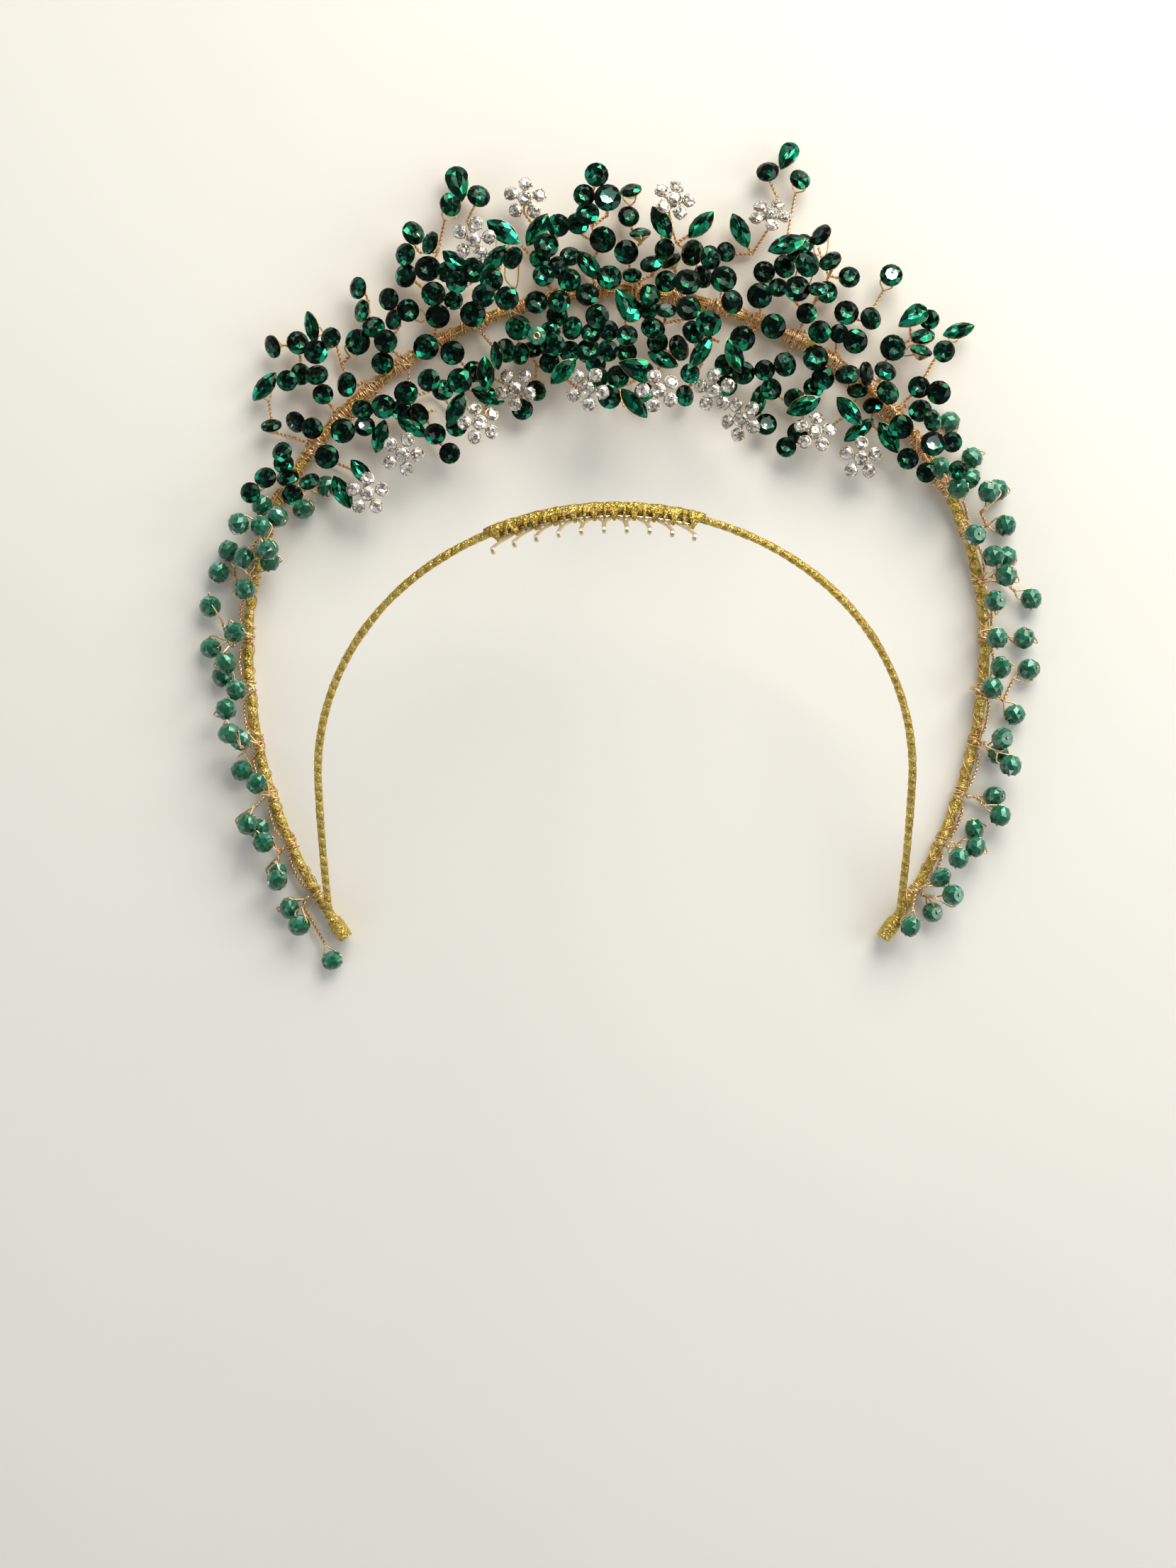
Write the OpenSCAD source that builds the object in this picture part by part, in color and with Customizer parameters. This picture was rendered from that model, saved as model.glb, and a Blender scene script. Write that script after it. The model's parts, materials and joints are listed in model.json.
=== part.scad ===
// Halo crown: two tape-wrapped wire hoops bound at their ends, a comb, and sprays of
// stones, flowers and faceted beads lashed to the outer hoop. It lies on its back:
// X runs across the head, Y from the ends to the top, Z up from the surface.

/* [Hoops] */
// Thickness of the wrapped halo band
band_d = 2.6; // [2.2:0.1:2.8]
// Thickness of the wrapped headband
headband_d = 2.1; // [1.8:0.1:2.3]
// Height of the halo's top in the chart
halo_top = 164.4; // [163.4:0.1:165.4]
// Length of the headband's plane from its ends to its top
headband_top = 111; // [110:0.5:112]
// Angle between the headband and the halo
headband_tilt = 25; // [24:0.5:26]

/* [Stones] */
// Share of a round stone's width that its flat top takes
table_share = 0.56; // [0.5:0.02:0.6]
// Height of a stone's crown, as a share of its width
crown_share = 0.18; // [0.14:0.01:0.2]
// Depth of a stone's pointed back, as a share of its width
back_share = 0.4; // [0.3:0.01:0.42]
// Width of a long stone, as a share of its length
navette_share = 0.5; // [0.44:0.01:0.52]
// Width of a small clear stone in a flower
petal_d = 3.2; // [2.8:0.1:3.4]
// Distance from a flower's middle to its petals
petal_reach = 3.9; // [3.6:0.1:4.1]

/* [Beads] */
// Length of a faceted bead along its hole
bead_l = 4.9; // [4.4:0.1:5.2]

/* [Wire] */
// Thickness of a twisted twig
twig_d = 0.9; // [0.7:0.1:1]
// Thickness of the lashing on the halo band
lash_wall = 0.6; // [0.5:0.05:0.7]
// Length of one lashing along the halo band
lash_l = 6; // [5:0.5:6.5]
// Gap between parts that are not soldered
fit_gap = 0.2; // [0.15:0.05:0.25]

/* [Comb] */
// Length of a comb tooth
tooth_l = 32; // [28:1:34]
// Thickness of the comb's metal
comb_t = 0.8; // [0.7:0.1:1]
// Angle from one tooth to the next along the headband
tooth_step = 3.6; // [3.4:0.1:3.8]

/* [Hidden] */
$fn = 32;
band_r = band_d / 2;
headband_r = headband_d / 2;
twig_r = twig_d / 2;
lash_r = band_r + fit_gap + lash_wall;
// The crown rests on its lashings, so the hoop runs this high
band_z = lash_r;
// Places are charted from the front, as the eye sees them from this far off
view_d = 650;
view_x = -7.4;
view_y = 36.9;
// Middle of the crown's outline in the chart, which is the part's origin
mid_x = 1;
mid_y = 95.5;
// Lowest point of the stones beside the hoop and of those over it, and how near counts as over
beside_z = 2.8;
above_z = 5.2;
over_band = 3.4;

// Each hoop is a chain of tangent arcs from its top: radius, angle turned
HALO_LEFT = [[60, 8], [108, 44], [78, 34], [123, 41]];
HALO_RIGHT = [[60, 8], [118, 22], [88, 62], [125, 35.5]];
HEADBAND_SIDE = [[77, 35], [71, 55], [600, 3.6]];
headband_x = -0.6;
headband_y = 2;
headband_z = 4.1;

function end_turn(arcs, n) = n == 0 ? 0 : arcs[n - 1][1] + end_turn(arcs, n - 1);
function arc_step(r, a, b) = [r * (sin(b) - sin(a)), -r * (cos(a) - cos(b))];
function arc_end(arcs, n) = n == 0 ? [0, 0]
    : arc_end(arcs, n - 1) + arc_step(arcs[n - 1][0], end_turn(arcs, n - 1), end_turn(arcs, n));
function arc_length(arc) = arc[0] * arc[1] * PI / 180;
// Point and turn on a chain at a distance from its top
function along(arcs, s, n = 0) =
    s <= arc_length(arcs[n]) || n == len(arcs) - 1
    ? let (a = end_turn(arcs, n), b = a + s / arcs[n][0] * 180 / PI)
        concat(arc_end(arcs, n) + arc_step(arcs[n][0], a, b), b)
    : along(arcs, s - arc_length(arcs[n]), n + 1);
// Point on the halo band: negative distances run down its left side
function halo_at(s) =
    let (p = along(s < 0 ? HALO_LEFT : HALO_RIGHT, abs(s)), side = s < 0 ? -1 : 1)
    [side * p[0], halo_top + p[1], -side * p[2]];
function chain_length(arcs) = [for (a = arcs) arc_length(a)] * [for (a = arcs) 1];
left_end = -chain_length(HALO_LEFT);
right_end = chain_length(HALO_RIGHT);

// A charted place at a height, drawn in towards the line of sight
function seen(x, y, z) = [
    view_x + (x - view_x) * (1 - z / view_d) - mid_x,
    view_y + (y - view_y) * (1 - z / view_d) - mid_y,
    z];
function flat(x, y, z) = [x - mid_x, y - mid_y, z];
function facing(lean, toward) = [sin(lean) * cos(toward), sin(lean) * sin(toward), cos(lean)];

// Columns of the stone charts:
// kind, x, y, size, turn of a long stone, lean off the front, direction of the lean
LEFT_END = [
    ["round", -86.2, 119.8, 5.3, 0, 10, 0],
    ["round", -86.6, 122.8, 5.4, 0, 25, 150],
    ["round", -90.9, 116.2, 5.7, 0, 20, 100],
    ["round", -94.8, 112.3, 5.4, 0, 20, 200],
    ["round", -85.1, 116.3, 5.8, 0, 42, 100],
    ["round", -83.9, 111.7, 5.5, 0, 30, 270],
    ["round", -79.5, 115.2, 5.4, 0, 40, 110],
    ["round", -75.0, 121.6, 6.3, 0, 5, 0],
    ["navette", -66.1, 117.7, 8.2, -50, 10, 40],
    ["navette", -71.1, 112.5, 9.4, -62, 20, 30],
    ["round", -89.4, 129.7, 5.4, 0, 50, 95],
    ["round", -83.1, 130.6, 5.7, 0, 40, 227],
    ["round", -78.8, 129.0, 5.6, 0, 15, 270],
    ["round", -76.0, 137.8, 5.4, 0, 10, 90],
    ["round", -69.9, 140.3, 6.4, 0, 38, 185],
];
LEFT_SHOULDER = [
    ["round", -89.1, 150.1, 6.0, 0, 52, 204],
    ["navette", -91.1, 139.8, 9.3, 50, 15, 140],
    ["round", -81.8, 143.0, 5.7, 0, 35, 0],
    ["round", -85.3, 141.3, 5.4, 0, 10, 270],
    ["round", -77.6, 142.8, 5.9, 0, 26, 100],
    ["round", -82.5, 151.1, 6.1, 0, 30, 10],
    ["navette", -79.0, 155.2, 8.4, 104, 35, 195],
    ["round", -77.9, 148.7, 6.2, 0, 10, 300],
    ["round", -74.0, 152.4, 5.4, 0, 22, 170],
    ["round", -65.2, 129.5, 5.4, 0, 15, 90],
    ["round", -70.9, 128.3, 6.4, 0, 0, 0],
    ["round", -65.8, 133.8, 5.6, 0, 42, 270],
    ["navette", -61.2, 126.9, 8.8, 74, 15, 180],
    ["round", -55.6, 133.6, 5.6, 0, 0, 0],
    ["round", -60.3, 134.6, 6.3, 0, 8, 60],
    ["round", -51.2, 132.6, 6.0, 0, 46, 223],
    ["navette", -53.0, 129.5, 9.0, -32, 25, 50],
    ["round", -54.5, 138.1, 6.3, 0, 8, 120],
    ["round", -66.0, 159.4, 5.9, 0, 50, 175],
    ["round", -67.0, 165.3, 5.7, 0, 42, 185],
    ["round", -67.0, 151.3, 6.7, 0, 15, 200],
    ["round", -62.9, 155.2, 5.9, 0, 20, 80],
    ["round", -60.6, 145.8, 5.8, 0, 5, 0],
    ["round", -59.8, 151.5, 6.1, 0, 10, 330],
    ["round", -57.8, 157.1, 5.2, 0, 40, 180],
    ["round", -59.0, 162.4, 5.7, 0, 30, 200],
    ["round", -54.0, 159.5, 5.9, 0, 20, 0],
];
LEFT_TOP = [
    ["round", -47.0, 127.5, 5.6, 0, 10, 90],
    ["round", -43.2, 122.5, 5.5, 0, 10, 200],
    ["round", -41.4, 129.6, 5.6, 0, 0, 0],
    ["navette", -41.6, 133.9, 9.3, 64, 12, 160],
    ["round", -45.0, 138.9, 5.6, 0, 16, 80],
    ["round", -48.6, 141.4, 5.8, 0, 10, 180],
    ["round", -37.0, 143.6, 5.6, 0, 12, 0],
    ["navette", -33.3, 137.4, 9.2, -22, 10, 250],
    ["round", -40.6, 141.3, 6.4, 0, 8, 250],
    ["navette", -33.9, 143.1, 9.2, 95, 15, 0],
    ["round", -49.3, 150.0, 6.7, 0, 5, 200],
    ["round", -42.5, 148.5, 6.3, 0, 8, 270],
    ["round", -46.3, 158.0, 6.3, 0, 25, 270],
    ["round", -42.2, 162.1, 5.0, 0, 10, 150],
    ["round", -47.4, 163.8, 6.3, 0, 15, 280],
    ["round", -54.6, 168.5, 6.2, 0, 30, 180],
    ["round", -54.7, 174.0, 5.8, 0, 30, 180],
    ["round", -48.9, 170.3, 6.7, 0, 8, 90],
    ["round", -52.6, 179.5, 6.3, 0, 36, 20],
    ["round", -48.3, 177.0, 6.0, 0, 50, 165],
    ["round", -43.9, 169.4, 5.4, 0, 10, 0],
    ["navette", -41.7, 172.1, 8.6, -40, 10, 60],
    ["round", -41.4, 166.8, 5.6, 0, 12, 270],
    ["round", -37.2, 158.5, 6.7, 0, 8, 220],
    ["round", -37.2, 169.9, 6.5, 0, 15, 0],
    ["navette", -31.5, 172.9, 9.0, 48, 15, 140],
    ["round", -32.4, 167.4, 6.0, 0, 8, 270],
    ["round", -34.5, 163.3, 6.0, 0, 15, 200],
    ["round", -28.4, 162.6, 6.1, 0, 10, 270],
    ["pear", -41.0, 192.2, 9.9, -77, 12, 90],
    ["round", -43.0, 186.9, 6.1, 0, 33, 0],
    ["round", -35.7, 189.1, 6.1, 0, 27, 40],
    ["round", -26.9, 173.1, 5.9, 0, 38, 160],
    ["navette", -29.4, 179.8, 10, -35, 10, 230],
    ["navette", -20.5, 180.4, 9.9, 56, 10, 150],
];
MIDDLE_TOP = [
    ["round", -12.1, 173.5, 5.4, 0, 20, 90],
    ["round", -15.1, 170.6, 5.8, 0, 30, 0],
    ["round", -12.2, 167.3, 6.0, 0, 0, 0],
    ["round", -19.9, 172.9, 5.4, 0, 12, 70],
    ["round", -18.9, 168.5, 5.7, 0, 10, 90],
    ["round", -18.2, 176.3, 6.4, 0, 10, 80],
    ["round", -15.1, 181.5, 5.9, 0, 5, 0],
    ["round", -10.0, 182.0, 5.8, 0, 15, 60],
    ["round", -7.5, 184.6, 6.0, 0, 10, 95],
    ["round", -8.4, 189.3, 5.6, 0, 12, 0],
    ["round", -5.2, 194.6, 6.1, 0, 5, 0],
    ["round", 3.7, 190.6, 5.6, 0, 48, 105],
    ["round", -2.3, 188.7, 6.9, 0, 6, 90],
    ["round", 3.1, 183.8, 5.6, 0, 15, 60],
    ["round", 6.1, 179.5, 5.6, 0, 62, 95],
    ["navette", -7.2, 171.2, 9.5, -50, 10, 60],
    ["round", -3.6, 177.8, 6.9, 0, 5, 0],
    ["round", 2.5, 174.6, 6.3, 0, 15, 320],
    ["round", -7.6, 163.6, 6.0, 0, 8, 90],
    ["round", 4.0, 168.6, 5.0, 0, 35, 90],
    ["round", -1.9, 168.0, 6.5, 0, 10, 90],
    ["round", 13.9, 172.4, 5.8, 0, 56, 125],
    ["round", 12.4, 175.4, 5.5, 0, 28, 170],
    ["round", 9.0, 171.6, 5.9, 0, 40, 110],
    ["navette", 11.6, 182.2, 9.6, -61, 12, 200],
    ["navette", 21.9, 181.7, 9.3, 45, 12, 140],
    ["round", 22.3, 168.2, 5.9, 0, 36, 0],
    ["round", 12.8, 167.0, 5.6, 0, 10, 200],
    ["round", 18.3, 166.8, 6.8, 0, 8, 60],
    ["round", 19.6, 174.4, 6.8, 0, 38, 180],
    ["round", 28.3, 174.6, 5.2, 0, 20, 0],
    ["round", 24.3, 173.2, 6.2, 0, 30, 0],
    ["round", 27.7, 167.6, 6.8, 0, 5, 90],
];
MIDDLE_INSIDE = [
    ["round", -24.4, 133.9, 5.6, 0, 20, 270],
    ["round", -20.8, 138.7, 5.5, 0, 28, 20],
    ["round", -21.9, 149.4, 5.6, 0, 38, 90],
    ["round", -17.0, 149.6, 5.5, 0, 10, 290],
    ["round", -17.4, 145.9, 5.3, 0, 10, 270],
    ["round", -24.9, 148.3, 5.8, 0, 42, 180],
    ["round", -28.6, 149.1, 6.2, 0, 42, 0],
    ["navette", -31.1, 147.8, 7.4, 98, 35, 180],
    ["round", -12.1, 148.8, 5.6, 0, 5, 0],
    ["navette", -13.8, 143.7, 9.0, 45, 12, 330],
    ["round", -15.4, 158.0, 5.6, 0, 0, 0],
    ["round", -17.2, 153.9, 5.4, 0, 8, 190],
    ["round", -16.1, 150.6, 5.6, 0, 15, 250],
    ["round", -25.5, 155.0, 6.6, 0, 10, 100],
    ["ring", -20.6, 153.0, 4.8, 0, 12, 250],
    ["round", -20.8, 161.6, 6.0, 0, 8, 80],
    ["round", -14.9, 161.8, 6.0, 0, 12, 120],
    ["round", -11.5, 154.9, 6.0, 0, 36, 180],
    ["round", -7.2, 148.9, 6.5, 0, 12, 45],
    ["round", -6.6, 153.6, 5.2, 0, 12, 70],
    ["round", -5.0, 158.0, 6.2, 0, 10, 200],
    ["round", -2.1, 154.3, 5.2, 0, 10, 345],
    ["round", 2.6, 148.6, 5.4, 0, 10, 0],
    ["round", -2.3, 149.0, 5.6, 0, 10, 180],
    ["round", 2.7, 153.0, 5.5, 0, 12, 90],
    ["round", -5.4, 145.6, 5.2, 0, 0, 0],
    ["round", -4.8, 142.2, 5.4, 0, 8, 20],
    ["round", 0.3, 142.3, 5.8, 0, 8, 20],
    ["round", -1.8, 137.1, 6.0, 0, 15, 250],
    ["round", 7.1, 138.3, 5.2, 0, 15, 0],
    ["navette", 4.5, 135.5, 9.7, -48, 30, 45],
    ["pear", 5.0, 144.4, 9.2, 160, 8, 270],
    ["round", 10.6, 151.2, 5.6, 0, 10, 180],
    ["navette", 12.0, 146.9, 8.6, -25, 12, 80],
    ["round", 9.4, 154.9, 6.4, 0, 28, 60],
    ["round", 8.2, 159.8, 5.2, 0, 0, 0],
    ["round", 8.6, 163.5, 5.6, 0, 15, 30],
    ["pear", 2.7, 161.0, 9.8, 126, 10, 30],
    ["round", 12.8, 159.6, 5.4, 0, 40, 90],
    ["round", 18.6, 160.1, 6.4, 0, 8, 90],
    ["round", 16.2, 149.8, 6.8, 0, 44, 10],
    ["round", 19.8, 153.9, 6.0, 0, 30, 20],
    ["navette", 21.8, 148.7, 9.4, 56, 33, 150],
    ["round", 23.8, 156.1, 6.6, 0, 5, 0],
    ["round", 19.0, 143.2, 5.0, 0, 20, 325],
    ["round", 17.7, 137.4, 5.6, 0, 38, 0],
];
RIGHT_TOP = [
    ["round", 29.9, 161.7, 6.2, 0, 28, 0],
    ["round", 28.5, 140.0, 5.5, 0, 0, 0],
    ["round", 28.1, 145.4, 5.6, 0, 0, 0],
    ["round", 32.8, 143.3, 6.0, 0, 8, 270],
    ["round", 32.6, 152.2, 6.6, 0, 5, 0],
    ["navette", 30.5, 147.9, 9.3, -70, 15, 20],
    ["navette", 36.7, 136.1, 8.4, 79, 20, 0],
    ["navette", 32.0, 180.2, 9.6, -65, 12, 20],
    ["round", 41.8, 165.4, 5.0, 0, 10, 90],
    ["round", 38.2, 169.4, 5.7, 0, 5, 0],
    ["round", 37.0, 163.3, 6.6, 0, 8, 270],
    ["round", 43.5, 170.9, 6.1, 0, 26, 10],
    ["round", 46.5, 174.2, 4.8, 0, 12, 45],
    ["round", 48.6, 176.8, 5.0, 0, 14, 30],
    ["navette", 44.0, 176.6, 10, 19, 12, 100],
    ["round", 49.4, 171.5, 6.8, 0, 24, 0],
    ["round", 46.8, 165.1, 6.7, 0, 8, 80],
    ["round", 54.4, 164.2, 5.8, 0, 15, 0],
    ["round", 52.2, 165.1, 5.0, 0, 40, 100],
    ["pear", 44.2, 199.4, 8.1, -116, 12, 80],
    ["round", 39.1, 195.4, 5.9, 0, 28, 115],
    ["round", 47.5, 193.4, 5.6, 0, 28, 45],
    ["round", 52.9, 179.1, 6.0, 0, 50, 146],
    ["round", 55.3, 172.3, 6.0, 0, 44, 130],
    ["round", 60.2, 168.1, 5.6, 0, 10, 90],
    ["round", 71.1, 168.6, 5.9, 0, 10, 90],
    ["round", 49.2, 158.7, 5.4, 0, 12, 200],
    ["round", 40.6, 155.4, 6.5, 0, 10, 270],
    ["round", 59.5, 158.9, 6.4, 0, 8, 80],
    ["round", 65.8, 157.4, 5.9, 0, 25, 10],
];
RIGHT_SHOULDER = [
    ["round", 38.7, 130.0, 5.6, 0, 5, 90],
    ["round", 40.0, 139.1, 5.6, 0, 15, 0],
    ["round", 38.3, 144.0, 5.4, 0, 8, 250],
    ["round", 43.6, 145.5, 6.3, 0, 24, 0],
    ["round", 43.9, 124.1, 5.3, 0, 8, 90],
    ["round", 46.8, 127.8, 5.4, 0, 0, 0],
    ["round", 45.9, 136.7, 5.4, 0, 28, 270],
    ["round", 51.0, 139.5, 5.4, 0, 10, 90],
    ["navette", 48.4, 134.8, 9.6, 24, 10, 290],
    ["round", 53.4, 141.9, 6.0, 0, 10, 200],
    ["round", 51.5, 147.2, 6.7, 0, 8, 45],
    ["round", 57.6, 153.5, 5.0, 0, 10, 300],
    ["round", 52.6, 153.9, 6.0, 0, 10, 200],
    ["round", 61.8, 151.5, 6.4, 0, 8, 250],
    ["round", 71.5, 149.8, 6.8, 0, 8, 0],
    ["round", 62.4, 138.8, 5.6, 0, 45, 100],
    ["round", 64.7, 143.1, 6.2, 0, 54, 0],
    ["round", 59.8, 142.9, 6.4, 0, 35, 100],
    ["round", 66.4, 135.0, 5.4, 0, 38, 120],
    ["round", 70.2, 138.2, 6.4, 0, 28, 30],
    ["round", 69.6, 143.8, 5.8, 0, 34, 60],
    ["navette", 62.7, 128.5, 9.4, 37, 33, 125],
    ["navette", 60.2, 133.5, 9.5, -49, 12, 200],
    ["navette", 70.4, 126.6, 9.4, -59, 12, 200],
    ["round", 73.7, 129.4, 6.3, 0, 8, 270],
    ["round", 75.4, 121.1, 5.6, 0, 5, 90],
];
RIGHT_END = [
    ["round", 81.0, 157.1, 5.2, 0, 20, 180],
    ["pear", 76.6, 157.8, 8.8, 214, 12, 90],
    ["round", 79.3, 152.8, 6.2, 0, 48, 100],
    ["round", 78.9, 149.0, 5.8, 0, 60, 75],
    ["round", 84.8, 148.9, 5.7, 0, 24, 300],
    ["navette", 88.6, 154.3, 8.4, 14, 20, 120],
    ["round", 78.3, 139.6, 5.8, 0, 5, 90],
    ["round", 83.4, 138.2, 6.2, 0, 5, 200],
    ["round", 78.6, 133.5, 6.0, 0, 30, 270],
    ["round", 81.8, 131.0, 5.7, 0, 36, 0],
    ["round", 80.2, 117.5, 5.2, 0, 10, 200],
    ["round", 88.4, 118.1, 5.0, 0, 8, 0],
    ["round", 86.8, 125.4, 5.4, 0, 8, 0],
    ["round", 81.9, 125.0, 6.4, 0, 5, 90],
];
// Flowers: kind, x, y, size, turn of the first petal, lean, direction of the lean
FLOWERS = [
    ["flower", -64.5, 112.0, 10.6, 90, 5, 0],
    ["flower", -55.4, 122.3, 10.6, 70, 15, 300],
    ["flower", -35.5, 130.4, 10.6, 36, 10, 45],
    ["flower", -26.3, 139.2, 10.6, 52, 15, 200],
    ["flower", -7.6, 139.2, 10.6, 130, 15, 200],
    ["flower", 10.8, 138.7, 10.6, 34, 5, 90],
    ["flower", 25.2, 138.7, 10.6, 90, 25, 200],
    ["flower", 32.2, 131.3, 10.6, 40, 30, 180],
    ["flower", 51.3, 128.1, 10.6, 10, 15, 90],
    ["flower", 63.2, 121.2, 10.6, 88, 5, 270],
    ["flower", 39.8, 184.6, 10.6, 130, 35, 90],
    ["flower", 14.9, 188.3, 10.6, 75, 25, 45],
    ["flower", -23.7, 188.4, 10.6, 88, 5, 60],
    ["flower", -37.0, 177.9, 10.6, 80, 15, 250],
];
// Beads: kind, x, y, size, turn of the hole seen from the front, lean, direction of the lean
BEADS_LEFT = [
    ["bead", -75.1, 113.9, 5.3, 100, 0, 0],
    ["bead", -81.0, 108.1, 5.3, 20, 20, 0],
    ["bead", -91.8, 109.0, 5.3, 60, 0, 0],
    ["bead", -87.9, 106.1, 5.5, -30, 20, 0],
    ["bead", -92.2, 103.6, 5.2, 90, 0, 0],
    ["bead", -97.9, 104.2, 5.5, 100, 0, 0],
    ["bead", -89.8, 94.6, 5.2, 90, 0, 0],
    ["bead", -90.4, 97.5, 5.5, 20, 30, 0],
    ["bead", -100.5, 97.3, 5.4, 70, 0, 0],
    ["bead", -96.4, 95.6, 5.5, 60, 10, 0],
    ["bead", -103.0, 91.7, 5.5, 60, 0, 0],
    ["bead", -96.2, 87.3, 5.5, 100, 0, 0],
    ["bead", -105.2, 82.9, 5.7, 0, 70, 0],
    ["bead", -98.8, 76.2, 5.4, 20, 30, 0],
    ["bead", -105.1, 72.1, 5.4, 0, 40, 0],
    ["bead", -102.1, 64.6, 5.3, 120, 0, 0],
    ["bead", -101.2, 68.3, 5.5, 100, 20, 0],
    ["bead", -98.4, 61.3, 5.5, 120, 0, 0],
    ["bead", -101.1, 56.2, 5.4, 110, 0, 0],
    ["bead", -97.3, 48.3, 5.2, 60, 0, 0],
    ["bead", -100.3, 50.0, 5.4, 10, 20, 0],
    ["bead", -97.0, 40.4, 5.6, 20, 0, 0],
    ["bead", -93.2, 37.1, 5.2, 50, 0, 0],
    ["bead", -92.5, 25.2, 5.0, 60, 0, 0],
    ["bead", -95.6, 26.6, 5.5, 70, 20, 0],
    ["bead", -91.4, 21.8, 5.4, 30, 0, 0],
    ["bead", -87.9, 13.9, 5.2, 80, 0, 0],
    ["bead", -87.9, 12.0, 5.3, 50, 30, 0],
    ["bead", -84.7, 4.8, 5.2, 90, 20, 0],
    ["bead", -82.2, 0.3, 5.6, 20, 30, 0],
    ["bead", -73.6, -8.8, 5.0, 20, 0, 0],
];
BEADS_RIGHT = [
    ["bead", 86.1, 130.6, 5.4, 40, 0, 0],
    ["bead", 92.0, 121.3, 5.6, 110, 0, 0],
    ["bead", 83.6, 118.8, 5.6, 20, 0, 0],
    ["bead", 91.6, 116.0, 5.0, 60, 0, 0],
    ["bead", 88.4, 113.5, 5.7, 20, 10, 0],
    ["bead", 98.6, 113.0, 5.6, 80, 0, 0],
    ["bead", 96.3, 112.6, 5.5, 80, 20, 0],
    ["bead", 100.7, 103.8, 5.6, 80, 0, 0],
    ["bead", 92.8, 101.4, 5.7, 0, 70, 0],
    ["bead", 100.9, 95.6, 5.2, 60, 0, 0],
    ["bead", 97.5, 95.9, 5.6, 20, 0, 0],
    ["bead", 100.9, 90.9, 5.7, 60, 20, 0],
    ["bead", 98.0, 84.3, 5.6, 0, 60, 0],
    ["bead", 107.3, 84.8, 5.6, 90, 0, 0],
    ["bead", 98.5, 74.6, 5.5, 90, 0, 0],
    ["bead", 105.5, 74.7, 5.6, 70, 20, 0],
    ["bead", 99.5, 67.1, 5.5, 90, 30, 0],
    ["bead", 106.7, 66.6, 5.6, 10, 40, 0],
    ["bead", 97.2, 61.7, 5.6, 30, 0, 0],
    ["bead", 103.0, 54.8, 5.4, 30, 0, 0],
    ["bead", 98.8, 44.7, 5.4, 20, 0, 0],
    ["bead", 99.9, 48.7, 5.7, 0, 70, 0],
    ["bead", 102.0, 41.7, 5.8, 80, 0, 0],
    ["bead", 97.8, 33.8, 5.2, 0, 40, 0],
    ["bead", 99.3, 28.7, 5.6, 70, 0, 0],
    ["bead", 92.6, 25.2, 5.0, 100, 0, 0],
    ["bead", 92.9, 20.6, 5.2, 60, 0, 0],
    ["bead", 88.6, 17.7, 5.4, 70, 0, 0],
    ["bead", 83.9, 12.7, 4.8, 40, 30, 0],
    ["bead", 87.1, 8.2, 5.6, 0, 60, 0],
    ["bead", 81.8, 3.7, 5.4, 0, 70, 0],
    ["bead", 76.1, 0.0, 5.0, 60, 0, 0],
];

// Forks where a twig divides on its way to its outer stones: x, y
FORKS = [
    [-83.2, 126.2],
    [-81.5, 146.6],
    [-71.0, 145.0],
    [-64.0, 161.5],
    [-50.8, 174.0],
    [-38.6, 182.2],
    [-24.6, 175.8],
    [-24.0, 184.5],
    [-2.6, 183.5],
    [-5.6, 177.0],
    [15.5, 176.5],
    [35.0, 173.6],
    [41.5, 188.2],
    [52.0, 175.4],
    [63.5, 149.5],
    [76.0, 151.5],
    [73.5, 134.8],
    [-46.8, 133.4],
    [-20.6, 144.5],
    [26.4, 151.0],
    [43.0, 136.0],
    [66.0, 129.5],
];

// Lashings, as distances along the halo band from its top: the sprays' and the bead twigs'
SPRAYS = 20;
SPRAY_STEP = 10.7;
TWIGS = 8;
TWIG_FIRST = 116;
TWIG_STEP = 13.8;
LASHINGS = concat(
    [for (i = [0:SPRAYS - 1]) (i - (SPRAYS - 1) / 2) * SPRAY_STEP],
    [for (i = [0:TWIGS - 1]) -TWIG_FIRST - i * TWIG_STEP],
    [for (i = [0:TWIGS - 1]) TWIG_FIRST + i * TWIG_STEP]
);
HUBS = [for (s = LASHINGS) halo_at(s)];
ITEMS = concat(
    BEADS_LEFT, BEADS_RIGHT, LEFT_END, LEFT_SHOULDER, LEFT_TOP, MIDDLE_TOP,
    MIDDLE_INSIDE, RIGHT_TOP, RIGHT_SHOULDER, RIGHT_END, FLOWERS
);

function is_bead(item) = item[0] == "bead";
function is_long(item) = item[0] == "navette" || item[0] == "pear";
function is_flower(item) = item[0] == "flower";
function first_least(d) = let (m = min(d)) [for (i = [0:len(d) - 1]) if (d[i] == m) i][0];
function nearest(x, y, places) = first_least([for (q = places) norm([q[0] - x, q[1] - y])]);
// The lashing that holds each item, found at a middling height
function owner(t) =
    let (p = seen(t[1], t[2], 8))
    nearest(p[0] + mid_x, p[1] + mid_y, HUBS);
OWNERS = [for (t = ITEMS) owner(t)];

// How far a place lies outside the band, measured from a lashing near it
function outside(h, p) =
    let (
        turn = HUBS[h][2],
        d = [p[0] - hub_at(h)[0], p[1] - hub_at(h)[1]],
        run = d * [cos(turn), sin(turn)]
    )
    d * [-sin(turn), cos(turn)] + run * run / 170;

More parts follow.
